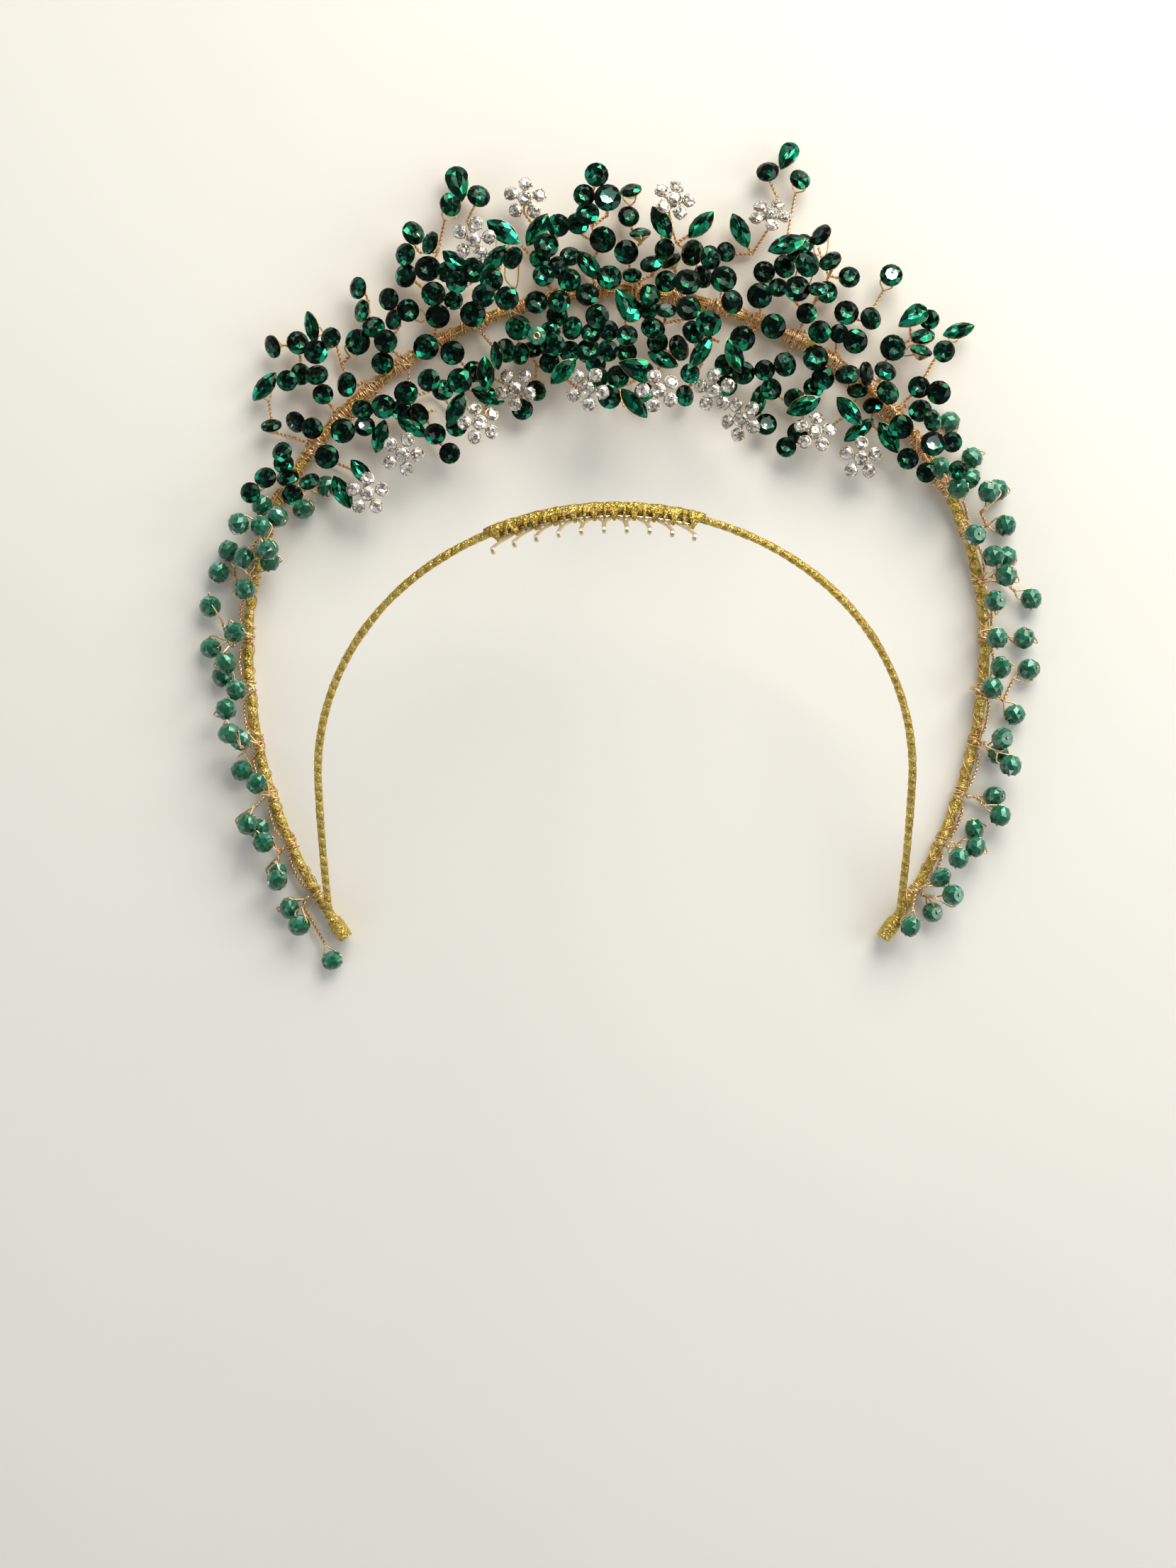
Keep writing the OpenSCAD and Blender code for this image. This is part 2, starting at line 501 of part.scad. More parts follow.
// Discs that cover an item in the chart: x, y, radius
function disc(item, share, r) =
    [item[1] + share * item[3] * cos(item[4]), item[2] + share * item[3] * sin(item[4]), r];
function discs(item) =
    item[0] == "navette" ? [disc(item, 0.2, item[3] * 0.24), disc(item, -0.2, item[3] * 0.24)]
    : item[0] == "pear" ? [disc(item, 0.22, item[3] * 0.2), disc(item, -0.18, item[3] * 0.31)]
    : [disc(item, 0, item[3] / 2)];
function crown_h(item) = is_long(item) ? item[3] * 0.12 : is_flower(item) ? 1.2 : item[3] * crown_share;
function back_h(item) = is_long(item) ? item[3] * 0.22 : is_flower(item) ? 2.6 : item[3] * back_share;
function reach(item) =
    is_long(item) ? item[3] * (0.25 + 0.25 * abs(cos(item[4] - item[6]))) : item[3] / 2;
function down_h(item) =
    is_bead(item) ? max(item[3] / 2, (bead_l / 2 + 0.95) * sin(item[5]))
    : is_flower(item) ? 4.4 + reach(item) * sin(item[5]) * 0.5
    : max(back_h(item) * cos(item[5]), reach(item) * sin(item[5]));
// Lowest height an item may have: over the twigs, and higher over the band
function least_z(item, h) =
    let (over = abs(outside(h, seen(item[1], item[2], 6))) < reach(item) + (is_bead(item) ? 2.2 : over_band))
    down_h(item) + (over ? (is_bead(item) ? 4.8 : above_z) : is_bead(item) ? 0.2 : beside_z);

// Rise one item needs over another that it overlaps
function disc_rise(a, b, thick, ball) =
    let (s = norm([a[0] - b[0], a[1] - b[1]]), r = a[2] + b[2] + 0.4)
    s >= r ? -100
    : 0.25 + (1 - ball) * thick * min(1, (r - s) / (0.72 * r)) + ball * sqrt(r * r - s * s);
function rise(over, under) =
    abs(over[1] - under[1]) + abs(over[2] - under[2]) > 22 ? -100
    : let (
        ball = is_bead(over) || is_bead(under) ? 1 : 0.7 * sin(max(over[5], under[5])),
        thick = crown_h(under) + back_h(over)
    )
    max([for (a = discs(over)) for (b = discs(under)) disc_rise(a, b, thick, ball)]);
// Heights of the items, each laid on those before it
function heights(n, done = []) =
    len(done) == n ? done
    : let (
        k = len(done),
        t = ITEMS[k],
        z = max([
            least_z(t, OWNERS[k]),
            for (j = [0:1:k - 1]) done[j] + rise(t, ITEMS[j])
        ])
    )
    heights(n, concat(done, [z]));
HEIGHTS = heights(len(ITEMS));
PLACES = [for (k = [0:len(ITEMS) - 1]) seen(ITEMS[k][1], ITEMS[k][2], HEIGHTS[k])];

// Room between a place and the items that lie lower than item k
function room(p, k) = min([
    for (j = [0:len(ITEMS) - 1])
        if (j != k && HEIGHTS[j] < HEIGHTS[k] + 1)
            if (abs(PLACES[j][0] - p[0]) + abs(PLACES[j][1] - p[1]) < 12)
                for (d = discs(ITEMS[j]))
                    norm([
                        PLACES[j][0] + d[0] - ITEMS[j][1] - p[0],
                        PLACES[j][1] + d[1] - ITEMS[j][2] - p[1]
                    ]) - d[2],
    9
]);
// Where the wire of item k comes up: under its back, or off to the side that has room
function stand(k) =
    let (
        t = ITEMS[k],
        n = facing(t[5], t[6]),
        p = PLACES[k],
        back = [p[0], p[1]] - back_h(t) * 0.8 * [n[0], n[1]],
        spots = concat(
            [back],
            [for (a = [0:30:330]) [p[0], p[1]] + 0.42 * reach(t) * cos(t[5]) * [cos(a), sin(a)]]
        ),
        rooms = is_flower(t) ? [9] : [for (q = spots) room(q, k) > 0.7 ? 9 : room(q, k)]
    )
    spots[[for (i = [0:len(rooms) - 1]) if (rooms[i] == max(rooms)) i][0]];
// Height at which a wire that comes up at a place meets the item's middle plane
function meet_z(k, q) =
    let (n = facing(ITEMS[k][5], ITEMS[k][6]), p = PLACES[k])
    p[2] - (n[0] * (q[0] - p[0]) + n[1] * (q[1] - p[1])) / n[2] - 0.4;

FORK_OWNERS = [for (f = FORKS) nearest(f[0], f[1], HUBS)];
function fork_at(i) = flat(FORKS[i][0], FORKS[i][1], band_z);
function hub_at(h) = flat(HUBS[h][0], HUBS[h][1], band_z);
function hub_out(h) = [-sin(HUBS[h][2]), cos(HUBS[h][2]), 0];
function plan(p, q) = norm([p[0] - q[0], p[1] - q[1]]);
// Where a bead's wire divides into its loop
function mouth_of(k, h) =
    let (
        p = PLACES[k],
        out = outside(h, p),
        aim = hub_at(h) + (abs(out) < 5 ? 0 : 3.4 * sign(out)) * hub_out(h),
        far = plan(aim, p)
    )
    p + (ITEMS[k][3] / 2 + 1.9) / far * [aim[0] - p[0], aim[1] - p[1], 0];
// Where a flower's stem comes up, below its collar
function neck_of(k) = PLACES[k] - 4.4 * facing(ITEMS[k][5], ITEMS[k][6]);
function rise_of(k, h) =
    is_bead(ITEMS[k]) ? mouth_of(k, h)
    : is_flower(ITEMS[k]) ? neck_of(k)
    : let (q = stand(k)) [q[0], q[1], meet_z(k, q)];
// Side of the band a place is on: 1 outside, -1 inside, 0 over it
function side_of(h, p) = let (out = outside(h, p)) abs(out) < 2.6 ? 0 : sign(out);
// Feet of a lashing's twigs: x, y, side, way from the lashing, item or -1 at a fork
function feet(h) = concat(
    [
        for (k = [0:len(ITEMS) - 1])
            if (OWNERS[k] == h)
                let (p = rise_of(k, h))
                [p[0], p[1], side_of(h, p), plan(p, hub_at(h)), k, p[2]]
    ],
    [
        for (i = [0:len(FORKS) - 1])
            if (FORK_OWNERS[i] == h)
                let (p = fork_at(i))
                [p[0], p[1], side_of(h, p), plan(p, hub_at(h)), -1, 0]
    ]
);
// The foot that a foot's twig branches from, or none where it starts at the lashing
function parent(list, n) =
    let (
        f = list[n],
        ways = [
            for (g = list)
                g[2] != f[2] || g[3] > f[3] - 0.3 ? 999 : plan(g, f)
        ],
        best = first_least(ways)
    )
    ways[best] < 0.85 * f[3] ? best : -1;
function level(side) = side == 0 ? band_z + lash_r + 0.25 : band_z;
// Where a twig leaves its lashing
function knob(h, side) =
    hub_at(h) + (lash_r + 0.25) * (side == 0 ? [0, 0, 1] : side * hub_out(h));

module round_stone(d) {
    r = d / 2;
    c = d * crown_share;
    b = d * back_share;
    rotate_extrude()
        polygon([[0, -b], [r * 0.25, -b], [r, -0.25], [r, 0.25], [r * table_share, c], [0, c]]);
}

// One of the two discs whose overlap makes a navette
module navette_disc(r, c, b) {
    rotate_extrude()
        polygon([[0, -b], [r - b * 1.1, -b], [r, -0.2], [r, 0.2], [r - c * 1.2, c], [0, c]]);
}

module navette(l, w) {
    r = (l * l + w * w) / (4 * w);
    off = r - w / 2;
    intersection() {
        translate([0, off, 0])
            navette_disc(r, l * 0.12, l * 0.2);
        translate([0, -off, 0])
            navette_disc(r, l * 0.12, l * 0.2);
    }
}

module pear(l) {
    w = l * 0.61;
    translate([-(l - w) / 2, 0, 0]) {
        round_stone(w);
        intersection() {
            navette(2 * (l - w / 2), w * 0.94);
            translate([0.4, -l, -l])
                cube(2 * l);
        }
    }
}

module ring_bead(d) {
    rotate_extrude()
        polygon([[0, -1.4], [d * 0.3, -1.4], [d / 2, -0.5], [d / 2, 0.5], [d * 0.36, 1], [d * 0.2, 0.5], [0, 0.5]]);
}

module bead(w) {
    rotate([0, 90, 0])
        rotate_extrude()
            polygon([
                [0, -bead_l / 2], [w * 0.3, -bead_l / 2], [w / 2, -0.8],
                [w / 2, 0.8], [w * 0.3, bead_l / 2], [0, bead_l / 2]
            ]);
}

module flower() {
    stem_r = twig_r + fit_gap;
    difference() {
        union() {
            translate([0, 0, -1.4])
                cylinder(h = 0.8, r = petal_reach - 0.5);
            translate([0, 0, -3.6])
                cylinder(h = 2.6, r = stem_r + 0.5);
            translate([0, 0, 0.6])
                round_stone(petal_d + 0.2);
            for (a = [0:72:288])
                rotate([0, 0, a])
                    translate([petal_reach, 0, 0])
                        rotate([0, 12, 0])
                            round_stone(petal_d);
        }
        translate([0, 0, -4])
            cylinder(h = 2.2, r = stem_r);
    }
}

module item_shape(t) {
    if (t[0] == "round")
        round_stone(t[3]);
    if (t[0] == "navette")
        navette(t[3], t[3] * navette_share);
    if (t[0] == "pear")
        pear(t[3]);
    if (t[0] == "ring")
        ring_bead(t[3]);
    if (t[0] == "bead")
        bead(t[3]);
    if (t[0] == "flower")
        flower();
}

module at_item(k) {
    t = ITEMS[k];
    translate(PLACES[k])
        if (is_bead(t))
            rotate([0, -t[5], t[4]])
                children();
        else
            rotate([0, t[5], t[6]])
                rotate([0, 0, t[4] - t[6]])
                    children();
}

// Rod between two joints; its ends stop short of their middles
module rod(a, b, r, short_a = 0.5, short_b = 0.5) {
    d = b - a;
    l = norm(d);
    if (l > short_a + short_b + 0.1)
        translate(a + d / l * short_a)
            rotate([0, acos(d[2] / l), atan2(d[1], d[0])])
                rotate([0, 0, 50])
                    cylinder(h = l - short_a - short_b, r = r, $fn = 14);
}

// Solder or a twist where wires meet, turned so that its seam lies between them
module joint(p, turn, r = twig_r + 0.25) {
    translate(p)
        rotate([0, 0, turn])
            sphere(r = r, $fn = 14);
}
function turn_apart(a, b) = let (d = abs(a - b) % 360) min(d, 360 - d);
// The turn that is farthest from all of these
function clear_turn(turns) =
    7 + 15 * first_least([for (a = [7:15:352]) -min([for (t = turns) turn_apart(a, t)])]);

// A bead's wire runs from its mouth into the bead
module bead_wire(k, h) {
    mouth = mouth_of(k, h);
    joint(mouth, way_turn(PLACES[k], mouth));
    rod(mouth, PLACES[k], twig_r * 0.5, 0.5, 1.1);
}

// Rise of a twig from its foot to the item it carries
module stem(k, h, foot, top_z) {
    top = [foot[0], foot[1], top_z];
    if (is_bead(ITEMS[k])) {
        rod(foot, top, twig_r);
        bead_wire(k, h);
    }
    if (is_flower(ITEMS[k])) {
        rod(foot, top, twig_r);
        joint(top, ITEMS[k][6] + 180);
        rod(top, PLACES[k] - 2.1 * facing(ITEMS[k][5], ITEMS[k][6]), twig_r, 0.5, 0);
    }
    if (!is_bead(ITEMS[k]) && !is_flower(ITEMS[k]))
        rod(foot, top, twig_r, 0.5, 0);
}

function way_turn(a, b) = atan2(b[1] - a[1], b[0] - a[0]);
// Turns of the twigs that leave a foot, or a knob where the foot is -1
function turns_from(list, parents, n, from, side = 0) = [
    for (m = [0:len(list) - 1])
        if (parents[m] == n && (n >= 0 || list[m][2] == side))
            way_turn(from, list[m])
];

module lashing(h, list, parents) {
    translate(hub_at(h))
        rotate([0, 0, HUBS[h][2]])
            rotate([0, 90, 0])
                difference() {
                    cylinder(h = lash_l, r = lash_r, center = true);
                    cylinder(h = lash_l + 1, r = band_r + fit_gap, center = true);
                }
    for (side = [-1, 0, 1])
        if (len([for (f = list) if (f[2] == side) f]) > 0)
            joint(knob(h, side), clear_turn(concat(
                side == 0 ? [] : [HUBS[h][2] - 90 * side],
                turns_from(list, parents, -1, knob(h, side), side)
            )));
}

// Everything one lashing holds, but for the flowers
module spray(h) {
    list = feet(h);
    parents = [for (n = [0:len(list) - 1]) parent(list, n)];
    lashing(h, list, parents);
    for (n = [0:len(list) - 1]) {
        f = list[n];
        z = level(f[2]);
        foot = [f[0], f[1], z];
        start = parents[n] < 0 ? knob(h, f[2]) : [list[parents[n]][0], list[parents[n]][1], z];
        rod(start, foot, twig_r);
        joint(foot, clear_turn(concat([way_turn(foot, start)], turns_from(list, parents, n, foot))));
        if (f[4] >= 0) {
            stem(f[4], h, foot, f[5]);
            if (!is_flower(ITEMS[f[4]]))
                at_item(f[4])
                    item_shape(ITEMS[f[4]]);
        }
    }
}

// A collar where two arcs of a hoop meet
module collar(x, y, turn, r) {
    translate([x, y, 0])
        rotate([0, 0, -turn])
            rotate([0, 90, 0])
                cylinder(h = 1.4, r = r + 0.06, center = true);
}

// A tube along one side of a hoop
module tube_side(arcs, top, r) {
    for (i = [0:len(arcs) - 1]) {
        a = end_turn(arcs, i);
        b = a + arcs[i][1];
        p = arc_end(arcs, i);
        // Each arc stops just short of the next, inside the collar between them
        short = 9 / arcs[i][0];
        translate([p[0] - arcs[i][0] * sin(a), top + p[1] - arcs[i][0] * cos(a), 0])
            rotate([0, 0, 90 - b + short])
                rotate_extrude(angle = b - a - 2 * short, $fn = 400)
                    translate([arcs[i][0], 0])
                        circle(r = r, $fn = 32);
        q = arc_end(arcs, i + 1);
        if (i < len(arcs) - 1)
            collar(q[0], top + q[1], b, r);
    }
}

module halo_band() {
    translate(flat(0, 0, band_z)) {
        collar(0, halo_top, 0, band_r);
        tube_side(HALO_RIGHT, halo_top, band_r);
        mirror([1, 0, 0])
            tube_side(HALO_LEFT, halo_top, band_r);
    }
}

stack_h = band_r + headband_r + fit_gap;
// Ends of the bindings: where the headband comes down on the halo, and the halo's very end
function halo_end(side) = let (p = halo_at(side < 0 ? left_end : right_end)) flat(p[0], p[1], band_z);
function headband_end(side) =
    let (n = len(HEADBAND_SIDE), p = arc_end(HEADBAND_SIDE, n), v = headband_top + p[1])
    flat(headband_x + side * p[0], headband_y + v * cos(headband_tilt), headband_z + v * sin(headband_tilt));

function end_way(side) =
    let (d = halo_end(side) - headband_end(side), l = norm([d[0], d[1]]))
    [d[0] / l, d[1] / l, 0];

module in_headband_plane() {
    translate(flat(headband_x, headband_y, headband_z))
        rotate([headband_tilt, 0, 0])
            children();
}

module headband() {
    in_headband_plane() {
        collar(0, headband_top, 0, headband_r);
        tube_side(HEADBAND_SIDE, headband_top, headband_r);
        mirror([1, 0, 0])
            tube_side(HEADBAND_SIDE, headband_top, headband_r);
    }
    for (side = [-1, 1]) {
        translate(headband_end(side))
            rotate([0, 0, 90 - 90 * side])
                sphere(r = headband_r + 0.15);
        rod(headband_end(side), halo_end(side) + [0, 0, stack_h], headband_r, 0.2, 0);
    }
}

binding_l = 5;
binding_gap = fit_gap + 0.1;
module end_binding(side) {
    way = end_way(side);
    wall = lash_r - band_r - binding_gap;
    translate(halo_end(side) - (binding_l - 0.8) * way)
        rotate([0, 0, atan2(way[1], way[0])])
            rotate([90, 0, 90])
                linear_extrude(height = binding_l)
                    difference() {
                        union() {
                            circle(r = band_r + binding_gap + wall);
                            translate([0, stack_h])
                                circle(r = headband_r + binding_gap + wall);
                            translate([-headband_r - binding_gap - wall, 0])
                                square([2 * (headband_r + binding_gap + wall), stack_h]);
                        }
                        circle(r = band_r + binding_gap);
                        translate([0, stack_h])
                            circle(r = headband_r + binding_gap);
                        translate([-headband_r * 0.6, 0])
                            square([headband_r * 1.2, stack_h]);
                    }
}

// The comb's bar follows the inside of the headband's top arc
TEETH = 10;
comb_turn = 4;
bar_h = 3;
bar_x = HEADBAND_SIDE[0][0] - headband_r - fit_gap - comb_t / 2;
tooth_lean = 15;

module at_tooth(i) {
    turn = 90 + comb_turn + ((TEETH - 1) / 2 - i) * tooth_step;
    translate([0, headband_top - HEADBAND_SIDE[0][0], 0])
        rotate([0, 0, turn])
            translate([bar_x, 0, 0])
                children();
}

module comb() {
    half = (TEETH / 2 + 0.1) * tooth_step;
    in_headband_plane() {
        translate([0, headband_top - HEADBAND_SIDE[0][0], 0])
            rotate([0, 0, 90 + comb_turn - half])
                rotate_extrude(angle = 2 * half, $fn = 400)
                    translate([bar_x - comb_t / 2, -bar_h / 2])
                        square([comb_t, bar_h]);
        for (i = [0:TEETH - 1])
            at_tooth(i) {
                // Root that stands on the bar
                translate([-comb_t * 0.45, -1.7, 0])
                    cube([comb_t * 0.9, 3.4, 2.4]);
                translate([0, 0, 2.2])
                    rotate([0, tooth_lean, 0]) {
                        rotate([90, 0, 90])
                            linear_extrude(height = comb_t, center = true)
                                polygon([
                                    [-1.7, -0.3], [-0.8, -0.3], [0, 8], [0.8, -0.3], [1.7, -0.3],
                                    [0.6, 13], [0.5, tooth_l - 3], [-0.5, tooth_l - 3], [-0.6, 13]
                                ]);
                        translate([-0.5, 0, tooth_l - 3])
                            rotate([90, 0, 0])
                                cylinder(h = 1.6, r = 0.95, center = true);
                    }
            }
    }
}

// Tape that holds the comb: a cover along the outside of the headband, and turns between the teeth
module comb_wrap() {
    wall = 0.6;
    x = HEADBAND_SIDE[0][0];
    half = (TEETH / 2 + 0.7) * tooth_step;
    in_headband_plane()
        translate([0, headband_top - x, 0]) {
            rotate([0, 0, 90 + comb_turn - half])
                rotate_extrude(angle = 2 * half, $fn = 400)
                    translate([x, 0])
                        difference() {
                            circle(r = headband_r + fit_gap + wall, $fn = 32);
                            circle(r = headband_r + fit_gap, $fn = 32);
                            translate([-5, -5])
                                square([5.4, 10]);
                        }
            for (i = [-1:TEETH - 1])
                rotate([0, 0, 90 + comb_turn + (TEETH / 2 - 1 - i) * tooth_step - 0.3])
                    rotate_extrude(angle = 0.6, $fn = 400)
                        difference() {
                            union() {
                                translate([x, 0])
                                    circle(r = headband_r + fit_gap + wall + 0.1, $fn = 32);
                                translate([bar_x - comb_t / 2 - fit_gap - wall, -bar_h / 2 - fit_gap - wall])
                                    square([x - bar_x + comb_t / 2 + fit_gap + wall, bar_h + 2 * (fit_gap + wall)]);
                            }
                            translate([x, 0])
                                circle(r = headband_r + fit_gap + 0.1, $fn = 32);
                            translate([bar_x - comb_t / 2 - fit_gap, -bar_h / 2 - fit_gap])
                                square([x - bar_x + comb_t / 2 + fit_gap, bar_h + 2 * fit_gap]);
                        }
        }
}

function two_digits(n) = n < 10 ? str("0", n) : str(n);
FIRST_FLOWER = len(ITEMS) - len(FLOWERS);

color([0.85, 0.68, 0.38])
        halo_band();
color([0.85, 0.68, 0.38])
        headband();
color([0.85, 0.68, 0.38])  // end_binding_left
        end_binding(-1);
color([0.85, 0.68, 0.38])  // end_binding_right
        end_binding(1);
color([0.9, 0.82, 0.62])
        comb();
color([0.85, 0.68, 0.38])
        comb_wrap();
for (i = [1:SPRAYS])
    color([0.05, 0.3, 0.25])
            spray(i - 1);
for (i = [1:len(FLOWERS)])
    color([0.85, 0.88, 0.9])
            at_item(FIRST_FLOWER + i - 1)
                flower();
for (i = [1:TWIGS])
    color([0.1, 0.4, 0.35])
            spray(SPRAYS + i - 1);
for (i = [1:TWIGS])
    color([0.1, 0.4, 0.35])
            spray(SPRAYS + TWIGS + i - 1);
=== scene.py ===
import json
import math
import random

import bpy
import numpy as np
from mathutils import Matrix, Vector

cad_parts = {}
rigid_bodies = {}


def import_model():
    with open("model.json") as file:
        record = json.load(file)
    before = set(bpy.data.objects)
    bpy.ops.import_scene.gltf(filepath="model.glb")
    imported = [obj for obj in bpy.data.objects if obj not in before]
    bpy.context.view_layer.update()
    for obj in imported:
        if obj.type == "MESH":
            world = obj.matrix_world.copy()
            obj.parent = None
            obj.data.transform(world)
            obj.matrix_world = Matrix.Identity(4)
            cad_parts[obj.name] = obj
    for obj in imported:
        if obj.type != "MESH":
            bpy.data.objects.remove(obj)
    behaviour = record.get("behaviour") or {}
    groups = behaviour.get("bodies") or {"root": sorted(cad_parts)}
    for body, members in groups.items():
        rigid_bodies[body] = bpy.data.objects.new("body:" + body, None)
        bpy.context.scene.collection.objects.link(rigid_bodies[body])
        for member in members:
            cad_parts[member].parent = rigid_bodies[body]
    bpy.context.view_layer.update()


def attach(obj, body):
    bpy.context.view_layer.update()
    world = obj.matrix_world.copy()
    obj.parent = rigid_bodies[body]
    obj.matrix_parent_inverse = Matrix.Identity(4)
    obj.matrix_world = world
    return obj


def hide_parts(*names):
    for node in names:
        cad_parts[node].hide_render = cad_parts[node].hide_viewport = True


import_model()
dice = random.Random(7)

# Sizes in millimetres, as in the part
MM = 0.001
FIT_GAP = 0.2
# Hoops: radii of the wound wires, tops in the chart, and how the headband lies on the halo band
BAND_R = 1.3
HEADBAND_R = 1.05
HALO_TOP = 164.4
HEADBAND_TOP = 111
HEADBAND_TILT = 25
HEADBAND_PLACE = (-0.6, 2, 4.1)
STACK_H = BAND_R + HEADBAND_R + FIT_GAP
# Round stones: table, crown and back, as shares of the width
TABLE_SHARE = 0.56
CROWN_SHARE = 0.18
BACK_SHARE = 0.4
# Long stones: table, crown and back, and a navette's width, as shares of the length
LONG_TABLE = 0.5
LONG_CROWN = 0.12
LONG_BACK = 0.22
NAVETTE_SHARE = 0.5
# Flowers: whole width, petals, their lean and reach, height and depth, and where the stem ends behind
FLOWER_D = 10.6
PETALS = 5
PETAL_LEAN = 12
PETAL_D = 3.2
PETAL_REACH = 3.9
FLOWER_CROWN = 1.2
FLOWER_BACK = 2.6
STEM_END = 4.4
# Beads: length along the hole, and how far a loop of wire stands off their ends
BEAD_L = 4.9
LOOP_OFF = 0.95
# Lashings, and where a twig leaves one; the crown rests on them, so the hoop runs that high
LASH_L = 6
LASH_R = 2.1
KNOB_R = LASH_R + 0.25
BAND_Z = LASH_R
# End bindings
BINDING_GAP = 0.3
BINDING_L = 5
# Comb
TEETH = 10
TOOTH_L = 32
TOOTH_STEP = 3.6
TOOTH_LEAN = 15
COMB_T = 0.8
COMB_TURN = 4
BAR_H = 3

# Places are charted from the front, as the eye sees them from this far off
VIEW = np.array([-7.4, 36.9])
VIEW_D = 650
MIDDLE = np.array([1, 95.5])
# Lowest point of a stone or a bead beside the hoop and over it, and how near counts as over
BESIDE_Z, BEAD_BESIDE_Z = 2.8, 0.2
ABOVE_Z, BEAD_ABOVE_Z = 5.2, 4.8
OVER_BAND, BEAD_OVER_BAND = 3.4, 2.2
# Usual height of a stone, by which its lashing is found, and of its back
USUAL_Z, USUAL_BACK_Z = 8, 6
# Mean radius of the hoop, by which places beside it are told outside from inside
BEND_R = 85

# Each hoop is a chain of tangent arcs from its top: radius, angle turned
HALO_LEFT = [[60, 8], [108, 44], [78, 34], [123, 41]]
HALO_RIGHT = [[60, 8], [118, 22], [88, 62], [125, 35.5]]
HEADBAND_SIDE = [[77, 35], [71, 55], [600, 3.6]]

# Lashings: how many, and how far apart along the halo band
SPRAYS = 20
SPRAY_STEP = 10.7
TWIGS = 8
TWIG_FIRST = 116
TWIG_STEP = 13.8

# Columns of the stone charts: x, y, size, lean off the front, direction of the lean, and for a stone
# that isn't round its kind and its turn
LEFT_END = [
    [-86.2, 119.8, 5.3, 10, 0],
    [-86.6, 122.8, 5.4, 25, 150],
    [-90.9, 116.2, 5.7, 20, 100],
    [-94.8, 112.3, 5.4, 20, 200],
    [-85.1, 116.3, 5.8, 42, 100],
    [-83.9, 111.7, 5.5, 30, 270],
    [-79.5, 115.2, 5.4, 40, 110],
    [-75.0, 121.6, 6.3, 5, 0],
    [-66.1, 117.7, 8.2, 10, 40, "navette", -50],
    [-71.1, 112.5, 9.4, 20, 30, "navette", -62],
    [-89.4, 129.7, 5.4, 50, 95],
    [-83.1, 130.6, 5.7, 40, 227],
    [-78.8, 129.0, 5.6, 15, 270],
    [-76.0, 137.8, 5.4, 10, 90],
    [-69.9, 140.3, 6.4, 38, 185],
]
LEFT_SHOULDER = [
    [-89.1, 150.1, 6.0, 52, 204],
    [-91.1, 139.8, 9.3, 15, 140, "navette", 50],
    [-81.8, 143.0, 5.7, 35, 0],
    [-85.3, 141.3, 5.4, 10, 270],
    [-77.6, 142.8, 5.9, 26, 100],
    [-82.5, 151.1, 6.1, 30, 10],
    [-79.0, 155.2, 8.4, 35, 195, "navette", 104],
    [-77.9, 148.7, 6.2, 10, 300],
    [-74.0, 152.4, 5.4, 22, 170],
    [-65.2, 129.5, 5.4, 15, 90],
    [-70.9, 128.3, 6.4, 0, 0],
    [-65.8, 133.8, 5.6, 42, 270],
    [-61.2, 126.9, 8.8, 15, 180, "navette", 74],
    [-55.6, 133.6, 5.6, 0, 0],
    [-60.3, 134.6, 6.3, 8, 60],
    [-51.2, 132.6, 6.0, 46, 223],
    [-53.0, 129.5, 9.0, 25, 50, "navette", -32],
    [-54.5, 138.1, 6.3, 8, 120],
    [-66.0, 159.4, 5.9, 50, 175],
    [-67.0, 165.3, 5.7, 42, 185],
    [-67.0, 151.3, 6.7, 15, 200],
    [-62.9, 155.2, 5.9, 20, 80],
    [-60.6, 145.8, 5.8, 5, 0],
    [-59.8, 151.5, 6.1, 10, 330],
    [-57.8, 157.1, 5.2, 40, 180],
    [-59.0, 162.4, 5.7, 30, 200],
    [-54.0, 159.5, 5.9, 20, 0],
]
